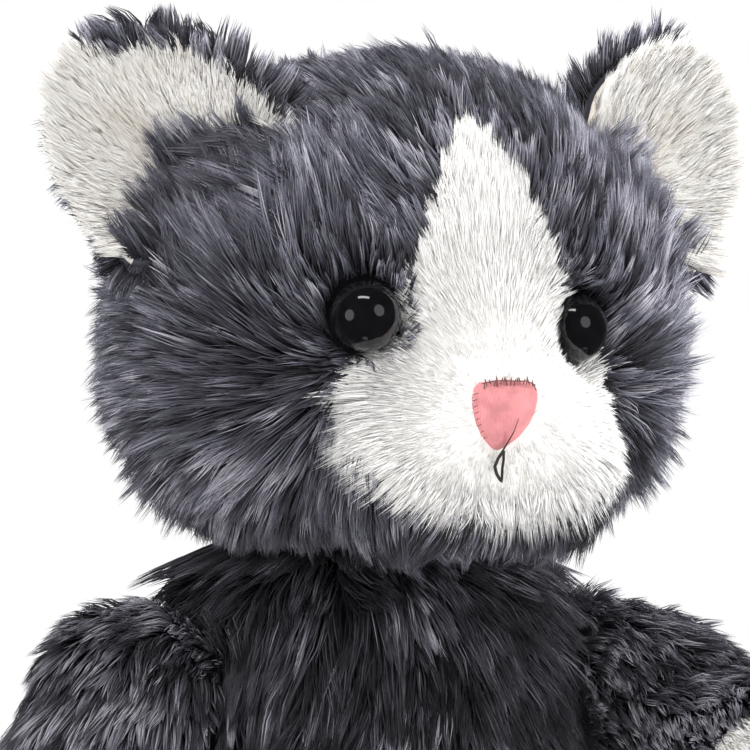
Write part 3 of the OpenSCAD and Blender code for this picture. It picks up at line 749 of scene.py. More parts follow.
def plain(name, col, rough, detail=40.0, amp=0.15, spec=0.5, coat=0.0, metal=0.0, bump=0.0, stretch=(1, 1, 1)):
    """A plain material with fine uneven colour."""
    m, t, b = nt(name)
    tc = t.nodes.new("ShaderNodeTexCoord")
    mp = t.nodes.new("ShaderNodeMapping")
    mp.inputs["Scale"].default_value = tuple(1000.0 * s / detail for s in stretch)
    t.links.new(tc.outputs["Object"], mp.inputs[0])
    nz = t.nodes.new("ShaderNodeTexNoise")
    nz.inputs["Scale"].default_value = 10.0
    nz.inputs["Detail"].default_value = 4.0
    t.links.new(mp.outputs[0], nz.inputs[0])
    lo = tuple(c * (1 - amp) for c in col)
    hi = tuple(min(1, c * (1 + amp)) for c in col)
    t.links.new(ramp(t, nz.outputs[0], [(0.3, lo), (0.7, hi)]), b.inputs["Base Color"])
    b.inputs["Roughness"].default_value = rough
    b.inputs["Specular IOR Level"].default_value = spec
    b.inputs["Coat Weight"].default_value = coat
    b.inputs["Coat Roughness"].default_value = 0.03
    b.inputs["Metallic"].default_value = metal
    if bump:
        bp = t.nodes.new("ShaderNodeBump")
        bp.inputs["Strength"].default_value = bump
        bp.inputs["Distance"].default_value = 0.0002
        t.links.new(nz.outputs[0], bp.inputs["Height"])
        t.links.new(bp.outputs[0], b.inputs["Normal"])
    return m


EYE = plain("eye_gloss", (0.004, 0.004, 0.005), 0.07, detail=30, amp=0.3, spec=0.45, coat=0.25)
DISC = plain("fibreboard", (0.33, 0.22, 0.13), 0.8, detail=25, amp=0.25, bump=0.3)
LOCK = plain("steel", (0.55, 0.55, 0.57), 0.35, detail=20, amp=0.08, metal=1.0)
NYLON = plain("nylon", (0.80, 0.80, 0.74), 0.45, detail=30, amp=0.06)

for side, nm in ((-1, "right"), (1, "left")):
    prof = [(2.4, -13.8), (2.5, -2.0), (2.6, -0.6), (7.0, -0.5), (7.7, 0.1), (7.85, 0.5), (7.8, 0.9)]
    prof += [(7.75 * math.cos(a), 0.9 + 7.5 * math.sin(a)) for a in np.linspace(0.04, 1.54, 22)]
    v, f = lathe(prof, 72)
    c, s = math.cos(math.radians(24)), math.sin(math.radians(24))
    # local x, y, z (z outwards) to the world of the left eye
    ex, ey, ez = np.array([c, s, 0]), np.array([0, 0, 1.0]), np.array([s, -c, 0])
    w = v[:, :1] * ex + v[:, 1:2] * ey + v[:, 2:] * ez
    w = w * (side, 1, 1) + EYES[side] + np.array([0, -0.4, 0])
    ob = make(f"eye_{nm}_dome", w, f if side > 0 else f[:, ::-1], EYE)
    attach(ob, "head")
    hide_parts(f"eye_{nm}")

# the nose pad: a crowned cloth shield with a gathered lower point
NOSE_M, t_, b_ = nt("nose_cloth")
tc = t_.nodes.new("ShaderNodeTexCoord")
wv = t_.nodes.new("ShaderNodeTexWave")
wv.inputs["Scale"].default_value = 1150.0
wv.inputs["Distortion"].default_value = 1.2
wv.inputs["Detail"].default_value = 2.0
wv.bands_direction = "X"
t_.links.new(tc.outputs["Object"], wv.inputs[0])
nz = t_.nodes.new("ShaderNodeTexNoise")
nz.inputs["Scale"].default_value = 260.0
nz.inputs["Detail"].default_value = 5.0
t_.links.new(tc.outputs["Object"], nz.inputs[0])
c1 = ramp(t_, wv.outputs[0], [(0.0, (0.68, 0.235, 0.25)), (0.5, (0.76, 0.30, 0.31)), (1.0, (0.80, 0.345, 0.35))])
c2 = ramp(t_, nz.outputs[0], [(0.32, (0.74, 0.70, 0.70)), (0.6, (1, 1, 1))])
t_.links.new(mix(t_, "MULTIPLY", 1.0, c1, c2), b_.inputs["Base Color"])
b_.inputs["Roughness"].default_value = 0.75
b_.inputs["Specular IOR Level"].default_value = 0.25
bp = t_.nodes.new("ShaderNodeBump")
bp.inputs["Strength"].default_value = 0.5
bp.inputs["Distance"].default_value = 0.0002
t_.links.new(wv.outputs[0], bp.inputs["Height"])
t_.links.new(bp.outputs[0], b_.inputs["Normal"])

THREAD = plain("thread_dark", (0.035, 0.028, 0.028), 0.6, detail=4, amp=0.5, spec=0.3)


def nose_half(z):
    """Half width of the shield at height z above its point, 0 to 15 mm."""
    return np.interp(z, [0, 1, 3, 6, 9, 11.5, 13.6, 14.8, 15.4], [0.6, 2.1, 4.5, 6.6, 7.7, 8.1, 7.7, 6.5, 0.2])


def skew(z):
    """Sideways offset of the shield at height z: its point sits a little towards the animal's right."""
    return -2.3 * np.clip(1 - (np.asarray(z, float) - 188.6) / 13.0, 0, 1)


def muzzle_front(x, z):
    """y of the muzzle's skin in front of (x, z)."""
    x, z = np.broadcast_arrays(np.asarray(x, float), np.asarray(z, float))
    lo, hi = np.full(x.shape, -100.0).ravel(), np.full(x.shape, -45.0).ravel()
    for _ in range(18):
        mid = (lo + hi) / 2
        out = head_f(np.stack([x.ravel(), mid, z.ravel()], 1)) > 0
        lo, hi = np.where(out, mid, lo), np.where(out, hi, mid)
    return lo.reshape(x.shape)


nu, nv = 49, 57
U, Z = np.meshgrid(np.linspace(-1, 1, nu), np.linspace(0.02, 15.35, nv))
NZ0 = 188.6
X = U * nose_half(Z)
edge = np.clip(1 - U ** 2, 0, 1) * np.clip(np.minimum(Z, 15.5 - Z) / 2.5, 0, 1)
fold = 0.28 * np.exp(-((X - 0.13 * (Z - 5) - 0.6) / 0.45) ** 2) * np.clip(Z / 4, 0, 1) * np.clip((15 - Z) / 8, 0, 1)
fold = fold + 0.30 * np.exp(-((X + 0.30 * Z - 1.0) / 0.4) ** 2) * np.clip((11 - Z) / 5, 0, 1) + 0.26 * np.exp(-((X - 0.42 * Z + 0.6) / 0.4) ** 2) * np.clip((10 - Z) / 5, 0, 1)
XS = X + skew(NZ0 + Z)
Y = muzzle_front(XS, NZ0 + Z) + 0.4 - 2.9 * np.sqrt(edge) + fold
X = XS
v = np.stack([X, Y, NZ0 + Z], -1).reshape(-1, 3)
f = []
for j in range(nv - 1):
    for i in range(nu - 1):
        a = j * nu + i
        f += [[a, a + 1, a + nu + 1], [a, a + nu + 1, a + nu]]
f = np.array(f)
n = vnormals(v, f)
V, F = shell(v, f, n, 0.9)
nose = make("nose_shield", V, F, NOSE_M)
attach(nose, "head")
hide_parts("nose_pad")


def tube(path, r, n=8):
    """A closed round thread along path; r is a number or one per point."""
    path = np.asarray(path, float)
    r = np.broadcast_to(r, len(path))
    T = unit(np.gradient(path, axis=0))
    ref = np.array([0.3, 0.9, 0.2])
    v, f = [], []
    for p, t, q in zip(path, T, r):
        a = unit(np.cross(t, ref))
        b = np.cross(t, a)
        for i in range(n):
            w = 2 * math.pi * i / n
            v.append(p + q * (a * math.cos(w) + b * math.sin(w)))
    k = len(path)
    for j in range(k - 1):
        for i in range(n):
            a, b = j * n + i, j * n + (i + 1) % n
            f += [[a, b, b + n], [a, b + n, a + n]]
    v += [path[0], path[-1]]
    for i in range(n):
        f.append([k * n, (i + 1) % n, i])
        f.append([k * n + 1, (k - 1) * n + i, (k - 1) * n + (i + 1) % n])
    return np.array(v), np.array(f)


def join(parts):
    v, f, o = [], [], 0
    for a, b in parts:
        v.append(a)
        f.append(b + o)
        o += len(a)
    return np.vstack(v), np.vstack(f)


def on_muzzle(xz, lift):
    xz = np.asarray(xz, float).copy()
    xz[:, 0] += skew(xz[:, 1])
    return np.stack([xz[:, 0], muzzle_front(xz[:, 0], xz[:, 1]) - lift, xz[:, 1]], 1)


def poly(pts, n):
    pts = np.asarray(pts, float)
    d = np.r_[0, np.cumsum(np.linalg.norm(np.diff(pts, axis=0), axis=1))]
    t = np.linspace(0, d[-1], n)
    return np.stack([np.interp(t, d, pts[:, k]) for k in range(pts.shape[1])], 1)


# the mouth: a thread loop under the nose, open like a narrow leaf, and the line sewn up across the pad
th = []
for pts, r, lift in (([(0.2, 188.6), (-0.9, 187.0), (-1.55, 185.2), (-0.9, 183.6), (0.7, 181.7)], 0.36, 2.9),
                     ([(0.3, 188.6), (0.55, 186.6), (0.45, 184.6), (0.7, 181.7)], 0.30, 2.8)):
    th.append(tube(on_muzzle(poly(pts, 22), lift), np.r_[np.full(20, r), r * 0.8, r * 0.4]))
th.append(tube(on_muzzle(poly([(0.0, 188.6), (0.6, 190.2), (1.5, 192.6), (2.1, 195.6)], 18), 2.95), np.linspace(0.20, 0.06, 18)))
v, f = join(th)
mouth = make("mouth_thread", v, f, THREAD)
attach(mouth, "head")
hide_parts("mouth_stitch")

# small overcast stitches along the top and the sides of the pad
r_ = np.random.default_rng(5)
th = []
for i, x in enumerate(np.linspace(-6.2, 6.4, 17)):
    zt = NZ0 + np.interp(abs(x), [0, 4, 6, 7.1], [15.3, 15.1, 14.7, 13.6])
    dx = r_.uniform(-0.9, 1.1)
    th.append(tube(on_muzzle(poly([(x, zt - r_.uniform(0.5, 1.3)), (x + dx * 0.5, zt), (x + dx, zt + r_.uniform(0.4, 1.3))], 5), 1.9), [0.10, 0.15, 0.16, 0.13, 0.05]))
th.append(tube(on_muzzle(poly([(-6.3, NZ0 + 14.5), (-3, NZ0 + 15.2), (1, NZ0 + 15.1), (4.5, NZ0 + 15.1), (6.6, NZ0 + 14.2)], 30), 1.5), 0.13))
for sx in (-1,):
    for zz in np.linspace(3, 12.5, 8):
        x0 = sx * nose_half(zz)
        th.append(tube(on_muzzle(poly([(x0 * 0.93, NZ0 + zz), (x0 + sx * 0.5, NZ0 + zz - 0.4)], 4), 1.7), [0.07, 0.1, 0.1, 0.04]))
v, f = join(th)
st = make("nose_stitches", v, f, plain("thread_rose", (0.16, 0.07, 0.07), 0.6, detail=4, amp=0.5, spec=0.3))
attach(st, "head")

# ------------------------------------------------------------------ torso
AX = np.array([math.cos(TILT), 0, math.sin(TILT)])
HANG = np.array([math.sin(TILT), 0, -math.cos(TILT)])
TC = np.array([[0, 38], [6, 44], [16, 47.5], [32, 49.5], [55, 50], [80, 49], [104, 48], [124, 47.5], [138, 46], [150, 43.5], [159, 40], [164.5, 36], [168, 31]])


def shoulder_local(p, side):
    q = p * (side, 1, 1) - SH_P
    return q @ HANG, q[:, 1], q @ AX


def torso_f(p):
    r = np.hypot(p[:, 0], p[:, 1])
    f = r - (np.interp(p[:, 2], TC[:, 0], TC[:, 1]) - 4.0)
    f = smax(f, p[:, 2] - 165.5, 4)
    f = smax(f, 1.2 - p[:, 2], 3)
    for s in (-1, 1):
        u, v, h = shoulder_local(p, s)
        f = smin(f, np.maximum(np.hypot(u, v) - 20.5, -h - 22), 6)
        cut = np.maximum(-(h + 1.0), np.hypot(u, v) - 30)
        f = smax(f, -cut, 1.5)
        x = p[:, 0] * s - (HIP_X - 1.0)
        rr = np.hypot(p[:, 1], p[:, 2] - HIP_Z)
        box = np.maximum.reduce([-x, p[:, 1] - 2, p[:, 2] - 56])
        low = np.maximum.reduce([-x, p[:, 1] - 25, p[:, 2] - HIP_Z])
        f = smax(f, -np.minimum.reduce([np.maximum(-x, rr - 25), box, low]), 3)
    return f


def torso_clamp(q):
    q = q.copy()
    q[:, 2] = np.minimum(q[:, 2], split_z(np.hypot(q[:, 0], q[:, 1])) - 0.3)
    for s in (-1, 1):
        u, v, h = shoulder_local(q, s)
        rr = np.hypot(u, v)
        lim = -0.4 + 2.4 * sstep(22, 32, rr)
        over = (h > lim) & (rr < 32) & (u > -17)
        q[over] -= ((h[over] - lim[over])[:, None] * AX) * (s, 1, 1)
        x = q[:, 0] * s
        inside = (x > HIP_X - 0.4) & ((np.hypot(q[:, 1], q[:, 2] - HIP_Z) < 25) | ((q[:, 1] < 2) & (q[:, 2] < 56)) | ((q[:, 1] < 25) & (q[:, 2] < HIP_Z)))
        q[inside, 0] = s * (HIP_X - 0.4)
    q[:, 2] = np.maximum(q[:, 2], 0.2)
    return q


tv, tf_ = star((0, 0, 30), (0, 0, 135), torso_f, 90, 6)
tv = relax(tv, tf_, 3)
tn = vnormals(tv, tf_)
kb = lambda c: (c[:, 2] < 4.5).astype(float)
kf = lambda c: ((c[:, 1] < 0) & (c[:, 2] >= 4.5)).astype(float)
backing("torso_front_skin", tv, tf_, tn, kf, GREY_SHADED, "torso", ["torso_front", "torso_stuffing"], 0.3)
backing("torso_seat_skin", tv, tf_, tn, kb, GREY_SHADED, "torso", ["torso_base"], 0.35)
for sd, nm in ((-1, "right"), (1, "left")):
    backing(f"torso_back_{nm}_skin", tv, tf_, tn, lambda c, s=sd: ((c[:, 1] >= 0) & (c[:, 2] >= 4.5) & (c[:, 0] * s > 0)).astype(float), GREY_SHADED, "torso", [f"torso_back_{nm}"], 0.3)


def torso_comb(P, N):
    top = sstep(138, 166, P[:, 2])
    D = np.stack([P[:, 0] * (0.010 + 0.02 * top), P[:, 1] * (0.006 + 0.02 * top), -1.0 + 0.5 * top], 1)
    return unit(D)


big_body = lambda p: 0.55 * noise(p, 19, 91) + 0.26 * noise(p, 8, 92)


def free_torso(c):
    """Where pile grows: not on the seat nor under the joint discs."""
    k = (c[:, 2] > 3).astype(float)
    for s in (-1, 1):
        u, v, h = shoulder_local(c, s)
        k = k * (1 - ((np.hypot(u, v) < 18) & (h > -3.5)))
        k = k * (1 - ((c[:, 0] * s > HIP_X - 3) & (np.hypot(c[:, 1], c[:, 2] - HIP_Z) < 20)))
    k = k * (1 - ((c[:, 2] > 163) & (np.hypot(c[:, 0], c[:, 1]) < 20)))
    return k


zones = (("torso_front_pile", lambda c: free_torso(c) * (c[:, 1] < 0) * (c[:, 2] > 95), 2.5, 3, 16.0, 0.40, 301),
         ("torso_belly_pile", lambda c: free_torso(c) * (c[:, 1] < 0) * (c[:, 2] <= 95), 0.9, 3, 15.0, 0.75, 302),
         ("torso_back_pile", lambda c: free_torso(c) * (c[:, 1] >= 0), 0.90, 3, 15.0, 0.77, 303))
for nm, kz, dens, rings, LL, WW, sdn in zones:
    ar = area(tv, tf_, kz)
    P, N = roots(tv, tf_, tn, ar * dens * DENS, rng, kz)
    L = LL + 2.5 * noise(P, 9, 93)
    for s in (-1, 1):
        u, v, h = shoulder_local(P, s)
        L = np.where((np.hypot(u, v) < 28) & (h > -8) & (u > -12), L * 0.8, L)
        L = np.where((u < -12) & (h > -20), L * 1.25, L)
    L = L * np.where(P[:, 2] < 12, 0.6, 1.0)
    # all the torso pile gets a low tone, painted shade of the head's shadow over the chest; its sides are lighter,
    # painted light on the shoulders
    fur(nm, P, N, torso_comb(P, N), L, WW + 0.12 * rng.random(len(P)), GREY_SHADED, "torso", "fur_dark", sdn, tone_of(P, 0.29, 0.20) + 0.20 * sstep(20, 44, np.abs(P[:, 0])),
        lean=(0.80, 1.45), clump=0.82, per=9, jitter=0.14, big=big_body, clamp=torso_clamp, spread=0.4)

# ------------------------------------------------------------------ arms, in the joint's own frame: x along the arm, z away from the torso
ARM_T = np.array([[-24, 0], [-20.8, 12], [-12, 20.8], [0, 24], [22, 22.5], [42, 20.5], [58, 19.5], [72, 20.0], [79, 21], [90, 17.9], [97, 10.9], [100, 0]])


def arm_f(p):
    s1 = cap(p, (2, 0, 14), (30, 0, 15), 19.6)
    s2 = cap(p, (20, 0, 15), (76, 0, 15), 16.0)
    s3 = sph(p, (79.5, 0, 15), 17.6)
    f = smin(smin(s1, s2, 10), s3, 6)
    f = np.maximum(f, -1e3)
    # the upper arm narrows towards the wrist
    r = np.hypot(p[:, 1], p[:, 2] - 15)
    f = smax(f, r - np.interp(p[:, 0], [-30, -8, 8, 26, 42, 58, 72, 90], [15.0, 17.6, 19.2, 18.7, 17.2, 16.2, 17.2, 18.0]), 3)
    f = smin(f, np.maximum(np.hypot(p[:, 0], p[:, 1]) - 18.3, p[:, 2] - 14), 4)
    return smax(f, 1.0 - p[:, 2], 1.5)


def arm_xform(side, swing):
    w = math.radians(-swing)
    Rz = np.array([[math.cos(w), -math.sin(w), 0], [math.sin(w), math.cos(w), 0], [0, 0, 1]])
    M = np.stack([HANG, (0, 1, 0), AX], 1)

    def tf(v, vec=False):
        q = v @ (M @ Rz).T
        if not vec:
            q = q + SH_P
        return q * (side, 1, 1)
    return tf


av, af = star((0, 0, 15), (79, 0, 15), arm_f, 60, 6)
av = relax(av, af, 2)
an = vnormals(av, af)


def past_seam(p):
    """Distance beyond the paw's seam, which runs a little further up the palm side."""
    return p[:, 0] - (74.5 - 0.42 * p[:, 1])


for side, nm, swing in ((-1, "right", 0.0), (1, "left", 78.0)):
    tf = arm_xform(side, swing)
    body = f"arm_{nm}"
    wv_, wf, wn = tf(av), (af if side > 0 else af[:, ::-1]), tf(an, True)
    lx = past_seam(av[af].mean(1))
    for tag, sel, mat, nodes, sl in (("sleeve", lx <= 0, GREY_SHADED, [f"arm_sleeve_{nm}", f"arm_stuffing_{nm}"], "fur_dark"), ("paw", lx > 0, WHITE, [f"paw_{nm}"], "fur_white")):
        selw = sel.astype(float)
        V, F = shell(wv_, wf[sel], wn, 1.4)
        # the arm's skin takes the root end of the pile's ramp: painted shade under the pile
        uv = np.stack([np.clip(0.35 + 0.1 * noise(V, 9, 5), 0.05, 0.95), 0.05 + 0.02 * noise(V, 3, 6)], 1)
        ob = make(f"arm_{nm}_{tag}_skin", V, F, mat, uv)
        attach(ob, body)
        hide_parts(*nodes)
    inv_c = arm_xform(side, swing)
    M = np.stack([HANG, (0, 1, 0), AX], 1)
    w = math.radians(-swing)
    Rz = np.array([[math.cos(w), -math.sin(w), 0], [math.sin(w), math.cos(w), 0], [0, 0, 1]])
    R = M @ Rz

    def arm_clamp(q, R=R, side=side):
        l = (q * (side, 1, 1) - SH_P) @ R
        floor = np.where(np.hypot(l[:, 0], l[:, 1]) < 34, 0.4, -1.2)
        l[:, 2] = np.maximum(l[:, 2], floor)
        return (l @ R.T + SH_P) * (side, 1, 1)

    for tag, kz, dens, LL, WW, mat, sl, sdn in (
            ("sleeve", lambda c: (past_seam(c) < 1.5) * ((c[:, 2] > 2.6) | (np.hypot(c[:, 0], c[:, 1]) > 18)) * (1 + 0.0 * c[:, 0]), 2.2, 14.5, 0.42, GREY_SHADED, "fur_dark", 310),
            ("paw", lambda c: (past_seam(c) >= -1.5) * (1 + 0.0 * c[:, 0]), 3.0, 9.0, 0.38, WHITE, "fur_white", 312)):
        ar = area(av, af, kz)
        P, N = roots(av, af, an, ar * dens * DENS, rng, kz)
        over = past_seam(P) + 1.5 * noise(P, 4, 95)
        q = over < 0 if tag == "sleeve" else over >= 0
        P, N = P[q], N[q]
        D = np.tile([1.0, 0, 0], (len(P), 1)) + 0.35 * (P - np.array([0, 0, 15])) * np.array([0, 1, 1]) / 20
        D = D + sstep(0, -18, P[:, 0])[:, None] * np.array([-1.0, 0, 0.4])
        L = LL + 2.0 * noise(P, 9, 96)
        L = L * (0.55 + 0.45 * sstep(3, 12, P[:, 2]))
        if tag == "sleeve":
            L = L * (0.7 + 0.3 * sstep(0, 14, -past_seam(P))) * (0.75 + 0.25 * sstep(-6, 16, P[:, 0]))
            # the left arm, on the far side, gets a lighter tone: painted light from the rim light
            tone = tone_of(P, 0.63 + 0.09 * (side > 0), 0.20)
        else:
            tone = 0.60 + 0.1 * noise(P, 8, 97)
        Pw, Nw, Dw = tf(P), tf(N, True), tf(D, True)
        fur(f"arm_{nm}_{tag}_pile", Pw, Nw, Dw, L, WW + 0.1 * rng.random(len(P)), mat, body, sl, sdn + side, tone,
            lean=(0.85, 1.46) if tag == "sleeve" else (0.80, 1.40), clump=0.82 if tag == "sleeve" else 0.65, per=9, jitter=0.14 if tag == "sleeve" else 0.10,
            big=big_body if tag == "sleeve" else (lambda p: 0.2 * noise(p, 10, 92)), clamp=arm_clamp, sag=0.15, spread=0.4, locks=0.4 if tag == "sleeve" else 0.2, contrast=0.20 if tag == "sleeve" else 0.05)

# ------------------------------------------------------------------ legs, made for the left side and mirrored
def leg_f(p):
    a = cap(p, (LEG_X, 0, HIP_Z), (LEG_X, -30, HIP_Z), 18.6)
    b = cap(p, (LEG_X, -25, HIP_Z), (LEG_X, -92, HIP_Z), 16.2)
    f = smin(a, b, 10)
    f = smin(f, np.maximum(np.hypot(p[:, 1], p[:, 2] - HIP_Z) - 18.3, p[:, 0] - HIP_X - 14), 4)
    return smax(f, HIP_X + 1.0 - p[:, 0], 1.5)


def foot_f(p):
    a = cap(p, (LEG_X, FOOT_Y, 25), (LEG_X, FOOT_Y - 1, 46), 17.8)
    a = smin(a, sph(p, (LEG_X, FOOT_Y + 4, 24), 18.0), 8)
    a = smin(a, cap(p, (LEG_X, FOOT_Y, HIP_Z), (LEG_X, FOOT_Y + 22, HIP_Z), 16.2), 5)
    return smax(smax(a, HIP_X + 0.0 - 9 - p[:, 0], 2.5), (FOOT_Y - 17.2) - p[:, 1], 3)


lv, lf = star((LEG_X, 0, HIP_Z), (LEG_X, -88, HIP_Z), leg_f, 60, 5)
fv, ff = star((LEG_X, FOOT_Y, 26), (LEG_X, FOOT_Y, 44), foot_f, 60, 5)
lv, fv = relax(lv, lf, 2), relax(fv, ff, 2)
ln, fn_ = vnormals(lv, lf), vnormals(fv, ff)
SOLE_Y = FOOT_Y - 15.2
for side, nm in ((-1, "right"), (1, "left")):
    body = f"leg_{nm}"
    mir = np.array([side, 1.0, 1.0])
    flip = (lambda F: F) if side > 0 else (lambda F: F[:, ::-1])
    for tag, v, f, n, sel, mat, nodes, sl in (
            ("thigh", lv, lf, ln, lv[lf].mean(1)[:, 1] > FOOT_Y + 19, GREY_SHADED, [f"leg_sleeve_{nm}", f"leg_stuffing_{nm}"], "fur_dark"),
            ("foot", fv, ff, fn_, (fv[ff].mean(1)[:, 1] > SOLE_Y) & (fv[ff].mean(1)[:, 1] < FOOT_Y + 24), WHITE, [f"foot_{nm}"], "fur_white"),
            ("sole", fv, ff, fn_, fv[ff].mean(1)[:, 1] <= SOLE_Y, SOLE, [f"sole_{nm}"], "sole_cloth")):
        V, F = shell(v, f[sel], n, 1.4)
        # skins other than the sole take the root end of the pile's ramp: painted shade under the pile
        uv = np.stack([np.clip(0.45 + 0.14 * noise(V, 5, 5), 0.05, 0.95), (0.6 if tag == "sole" else 0.05) + 0.03 * noise(V, 3, 6)], 1)
        ob = make(f"leg_{nm}_{tag}_skin", V * mir, flip(F), mat, uv)
        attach(ob, body)
        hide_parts(*nodes)

    def leg_clamp(q, side=side):
        q = q.copy()
        x = q[:, 0] * side
        x = np.where(np.hypot(q[:, 1], q[:, 2] - HIP_Z) < 54, np.maximum(x, HIP_X + 0.4), x)
        q[:, 0] = x * side
        q[:, 2] = np.maximum(q[:, 2], 0.2)
        return q

    for tag, v, f, n, kz, dens, LL, WW, mat, sl, sdn in (
            ("thigh", lv, lf, ln, lambda c: (c[:, 1] > FOOT_Y + 17) * ((c[:, 0] > HIP_X + 2.6) | (np.hypot(c[:, 1], c[:, 2] - HIP_Z) > 18)) * (1.0 + 0 * c[:, 0]), 1.0, 13.0, 0.70, GREY_SHADED, "fur_dark", 320),
            ("foot", fv, ff, fn_, lambda c: (c[:, 1] > SOLE_Y) * (c[:, 1] < FOOT_Y + 24) * (1.0 + 0 * c[:, 0]), 1.9, 8.5, 0.46, WHITE, "fur_white", 322),
            ("sole", fv, ff, fn_, lambda c: (c[:, 1] <= SOLE_Y) * (1.0 + 0 * c[:, 0]), 3.2, 1.9, 0.5, SOLE, "sole_cloth", 324)):
        ar = area(v, f, kz)
        P, N = roots(v, f, n, ar * dens * DENS, rng, kz)
        if tag == "thigh":
            D = np.tile([0, -1.0, -0.15], (len(P), 1)) + 0.3 * (P - np.array([LEG_X, 0, HIP_Z])) * np.array([1, 0, 1]) / 20
            D = D + sstep(0, 15, P[:, 1])[:, None] * np.array([0.2, 1.2, -0.4])
        elif tag == "foot":
            D = np.stack([(P[:, 0] - LEG_X) * 0.03, -0.5 + 0 * P[:, 0], 0.25 - 0.6 * sstep(48, 14, P[:, 2])], 1)
        else:
            D = np.tile([0.0, 0, -1.0], (len(P), 1))
        L = LL * (1 + 0.14 * noise(P, 9, 96))
        L = L * np.where(P[:, 2] < 9, 0.5, 1.0)
        if tag == "thigh":
            L = L * (0.55 + 0.45 * np.maximum(sstep(HIP_X + 3, HIP_X + 12, P[:, 0]), sstep(48, 60, np.hypot(P[:, 1], P[:, 2] - HIP_Z))))
        fur(f"leg_{nm}_{tag}_pile", P * mir, N * mir, D * mir, L, WW + 0.1 * rng.random(len(P)), mat, body, sl, sdn + side,
            tone_of(P, 0.54 if mat is GREY_SHADED else 0.60, 0.14 if mat is GREY_SHADED else 0.08), lean=(0.80, 1.42) if tag != "sole" else (0.3, 0.9), clump=0.8 if tag == "thigh" else 0.6, per=9,
            jitter=0.15, big=big_body if tag == "thigh" else (lambda p: 0.25 * noise(p, 10, 92)), clamp=leg_clamp, rings=3 if tag == "thigh" else 2, locks=0.4 if tag == "thigh" else 0.2, contrast=0.20 if tag == "thigh" else 0.05)

# ------------------------------------------------------------------ tail
TCN = np.array([62.0, 38.0, 12.6])
na_, ns_ = 40, 90
tt = np.linspace(0, 1, ns_)
ang = np.radians(180 - 108 * tt)
cen = TCN + 62 * np.stack([np.cos(ang), np.sin(ang), 0 * ang], 1)
tan = unit(np.gradient(cen, axis=0))
out_ = np.stack([np.cos(ang), np.sin(ang), 0 * ang], 1)
rad = np.interp(tt, [0, 0.1, 0.8, 0.93, 0.98, 1], [7.6, 7.8, 7.6, 6.2, 3.8, 0.6])
aa = np.linspace(0, 2 * math.pi, na_, endpoint=False)
V = np.concatenate([cen[i] + rad[i] * (np.cos(aa)[:, None] * out_[i] + np.sin(aa)[:, None] * np.array([0, 0, 1.0])) for i in range(ns_)])
F = []
for i in range(ns_ - 1):
    for j in range(na_):
        a, b = i * na_ + j, i * na_ + (j + 1) % na_
        F += [[a, b + na_, b], [a, a + na_, b + na_]]
F = np.array(F)
nn = vnormals(V, F)
if ((nn * (V - np.repeat(cen, na_, 0))).sum(1)).mean() < 0:
    F = F[:, ::-1]
    nn = vnormals(V, F)
tail_out = lambda c: (torso_f(c) > 0.3).astype(float)
V2, F2 = shell(V, F[tail_out(V[F].mean(1)) > 0.5], nn, 1.2)
# the tail's skin takes the root end of the pile's ramp: painted shade under the pile
ob = make("tail_skin_cloth", V2, F2, GREY_SHADED, np.stack([np.clip(0.35 + 0.1 * noise(V2, 9, 5), 0.05, 0.95), 0.05 + 0.02 * noise(V2, 3, 6)], 1))
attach(ob, "torso")
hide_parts("tail_skin", "tail_stuffing")
ar = area(V, F, tail_out)
P, N = roots(V, F, nn, ar * 1.4 * DENS, rng, tail_out)
d = P - TCN
D = np.stack([d[:, 1], -d[:, 0], 0 * d[:, 0]], 1)


def floor_clamp(q):
    q = q.copy()
    q[:, 2] = np.maximum(q[:, 2], 0.2)
    return q


fur("tail_pile", P, N, D, (12.5 + 2 * noise(P, 9, 98)) * np.where(P[:, 2] < 7, 0.6, 1), 0.66 + 0.1 * rng.random(len(P)), GREY, "torso", "fur_grey", 330, tone_of(P, 0.42),
    lean=(0.6, 1.3), clump=0.8, per=9, jitter=0.17, big=big_body, clamp=floor_clamp)

# ------------------------------------------------------------------ carried-over joint hardware
for nm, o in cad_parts.items():
    if o.hide_render:
        continue
    mat = LOCK if "lock_washer" in nm else NYLON if nm.startswith("eye_washer") else DISC
    if o.data.materials:
        for i in range(len(o.data.materials)):
            o.data.materials[i] = mat
    else:
        o.data.materials.append(mat)

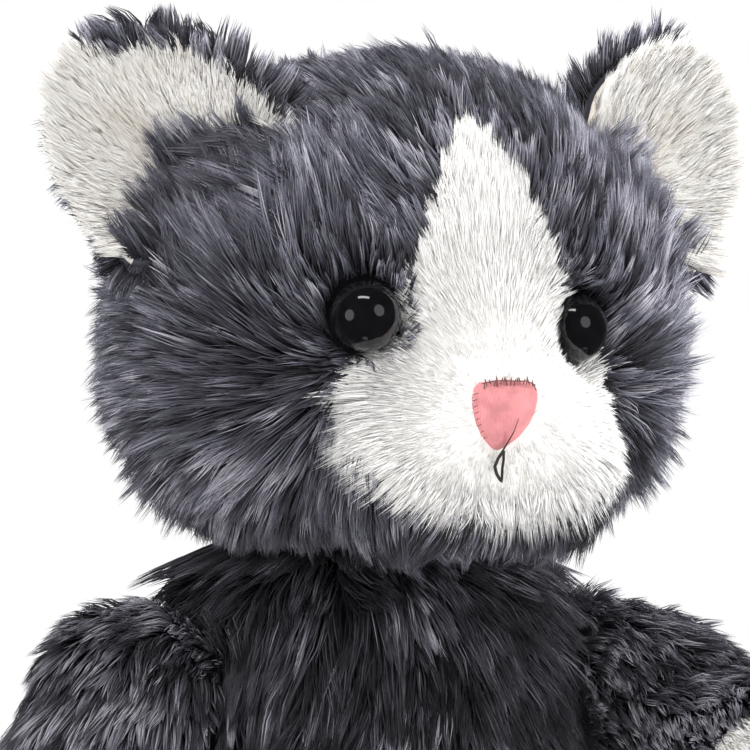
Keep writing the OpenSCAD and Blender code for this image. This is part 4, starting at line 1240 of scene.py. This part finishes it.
# ------------------------------------------------------------------ stage, light, camera
def studio():
    sc = bpy.context.scene
    sc.view_settings.view_transform = "Standard"
    sc.view_settings.look = "None"
    w = bpy.data.worlds.new("studio")
    sc.world = w
    w.use_nodes = True
    t = w.node_tree
    t.nodes.clear()
    out = t.nodes.new("ShaderNodeOutputWorld")
    mx = t.nodes.new("ShaderNodeMixShader")
    dim = t.nodes.new("ShaderNodeBackground")
    dim.inputs[0].default_value = (0.96, 0.97, 1.0, 1)
    dim.inputs[1].default_value = 0.42
    bright = t.nodes.new("ShaderNodeBackground")
    bright.inputs[0].default_value = (1, 1, 1, 1)
    bright.inputs[1].default_value = 1.0
    lp = t.nodes.new("ShaderNodeLightPath")
    dark = t.nodes.new("ShaderNodeBackground")
    dark.inputs[0].default_value = (0.9, 0.93, 1.0, 1)
    dark.inputs[1].default_value = 0.03
    my = t.nodes.new("ShaderNodeMixShader")
    t.links.new(lp.outputs["Is Glossy Ray"], my.inputs[0])
    t.links.new(dim.outputs[0], my.inputs[1])
    t.links.new(dark.outputs[0], my.inputs[2])
    t.links.new(lp.outputs["Is Camera Ray"], mx.inputs[0])
    t.links.new(my.outputs[0], mx.inputs[1])
    t.links.new(bright.outputs[0], mx.inputs[2])
    t.links.new(mx.outputs[0], out.inputs[0])

    n = 96
    v = np.array([[0, 0, -0.6]] + [[1500 * math.cos(2 * math.pi * i / n), 1500 * math.sin(2 * math.pi * i / n), -0.6] for i in range(n)])
    f = np.array([[0, 1 + i, 1 + (i + 1) % n] for i in range(n)])
    floor = make("floor", v, f, plain("floor_pale", (0.86, 0.86, 0.86), 0.7, detail=400, amp=0.01), smooth=False)
    floor.visible_glossy = False

    def area_light(name, loc, aim, size, power, col=(1, 1, 1), shape="RECTANGLE", size_y=None):
        l = bpy.data.lights.new(name, "AREA")
        l.energy = power
        l.color = col
        l.shape = shape
        l.size = size
        if size_y:
            l.size_y = size_y
        o = bpy.data.objects.new(name, l)
        sc.collection.objects.link(o)
        o.visible_glossy = name[:5] in ("glint", "soft_")
        o.location = loc
        o.rotation_mode = "QUATERNION"
        o.rotation_quaternion = (Vector(aim) - Vector(loc)).to_track_quat("-Z", "Y")
    a = (0, 0, 0.2)
    area_light("key", (-1.1, -0.95, 1.15), a, 1.0, 13.0, (1, 0.985, 0.965), size_y=1.2)
    area_light("fill", (0.75, -1.35, 0.45), a, 1.3, 7.5, (0.96, 0.975, 1.0), size_y=1.3)
    area_light("top", (0.1, 0.15, 1.6), a, 1.1, 13, size_y=1.1)
    area_light("glint", (-0.34, -0.50, 1.20), (0, 0, 0.21), 0.60, 2.8, size_y=0.15)
    area_light("soft_left", (-1.10, -0.30, 0.26), (-0.03, -0.06, 0.215), 0.62, 1.5, shape="DISK")
    area_light("soft_right", (0.34, -1.05, 0.52), (-0.03, -0.06, 0.215), 0.66, 1.6, shape="DISK")
    area_light("rim_left", (-1.2, 0.85, 0.55), a, 0.6, 12, size_y=1.0)
    area_light("rim_right", (1.25, 0.1, 0.75), a, 0.6, 26, size_y=1.0)

    AZ, EL, DIST, PXMM = math.radians(-25.6), math.radians(0.0), 1300.0, 0.2286
    right = np.array([math.cos(AZ), math.sin(AZ), 0])
    back = np.array([math.sin(AZ) * math.cos(EL), -math.cos(AZ) * math.cos(EL), math.sin(EL)])
    up = np.cross(back, right)
    aim = right * ((375 - 362) * PXMM) + np.array([0, 0, 165 + (550 - 375) * PXMM])
    cam = bpy.data.cameras.new("camera")
    cam.sensor_width = 36
    cam.lens = 36 * DIST / (750 * PXMM)
    cam.clip_start, cam.clip_end = 0.05, 50
    co = bpy.data.objects.new("camera", cam)
    sc.collection.objects.link(co)
    co.location = Vector((aim + back * DIST) / 1000)
    co.rotation_mode = "QUATERNION"
    co.rotation_quaternion = Vector(-back).to_track_quat("-Z", "Y")
    sc.camera = co


studio()
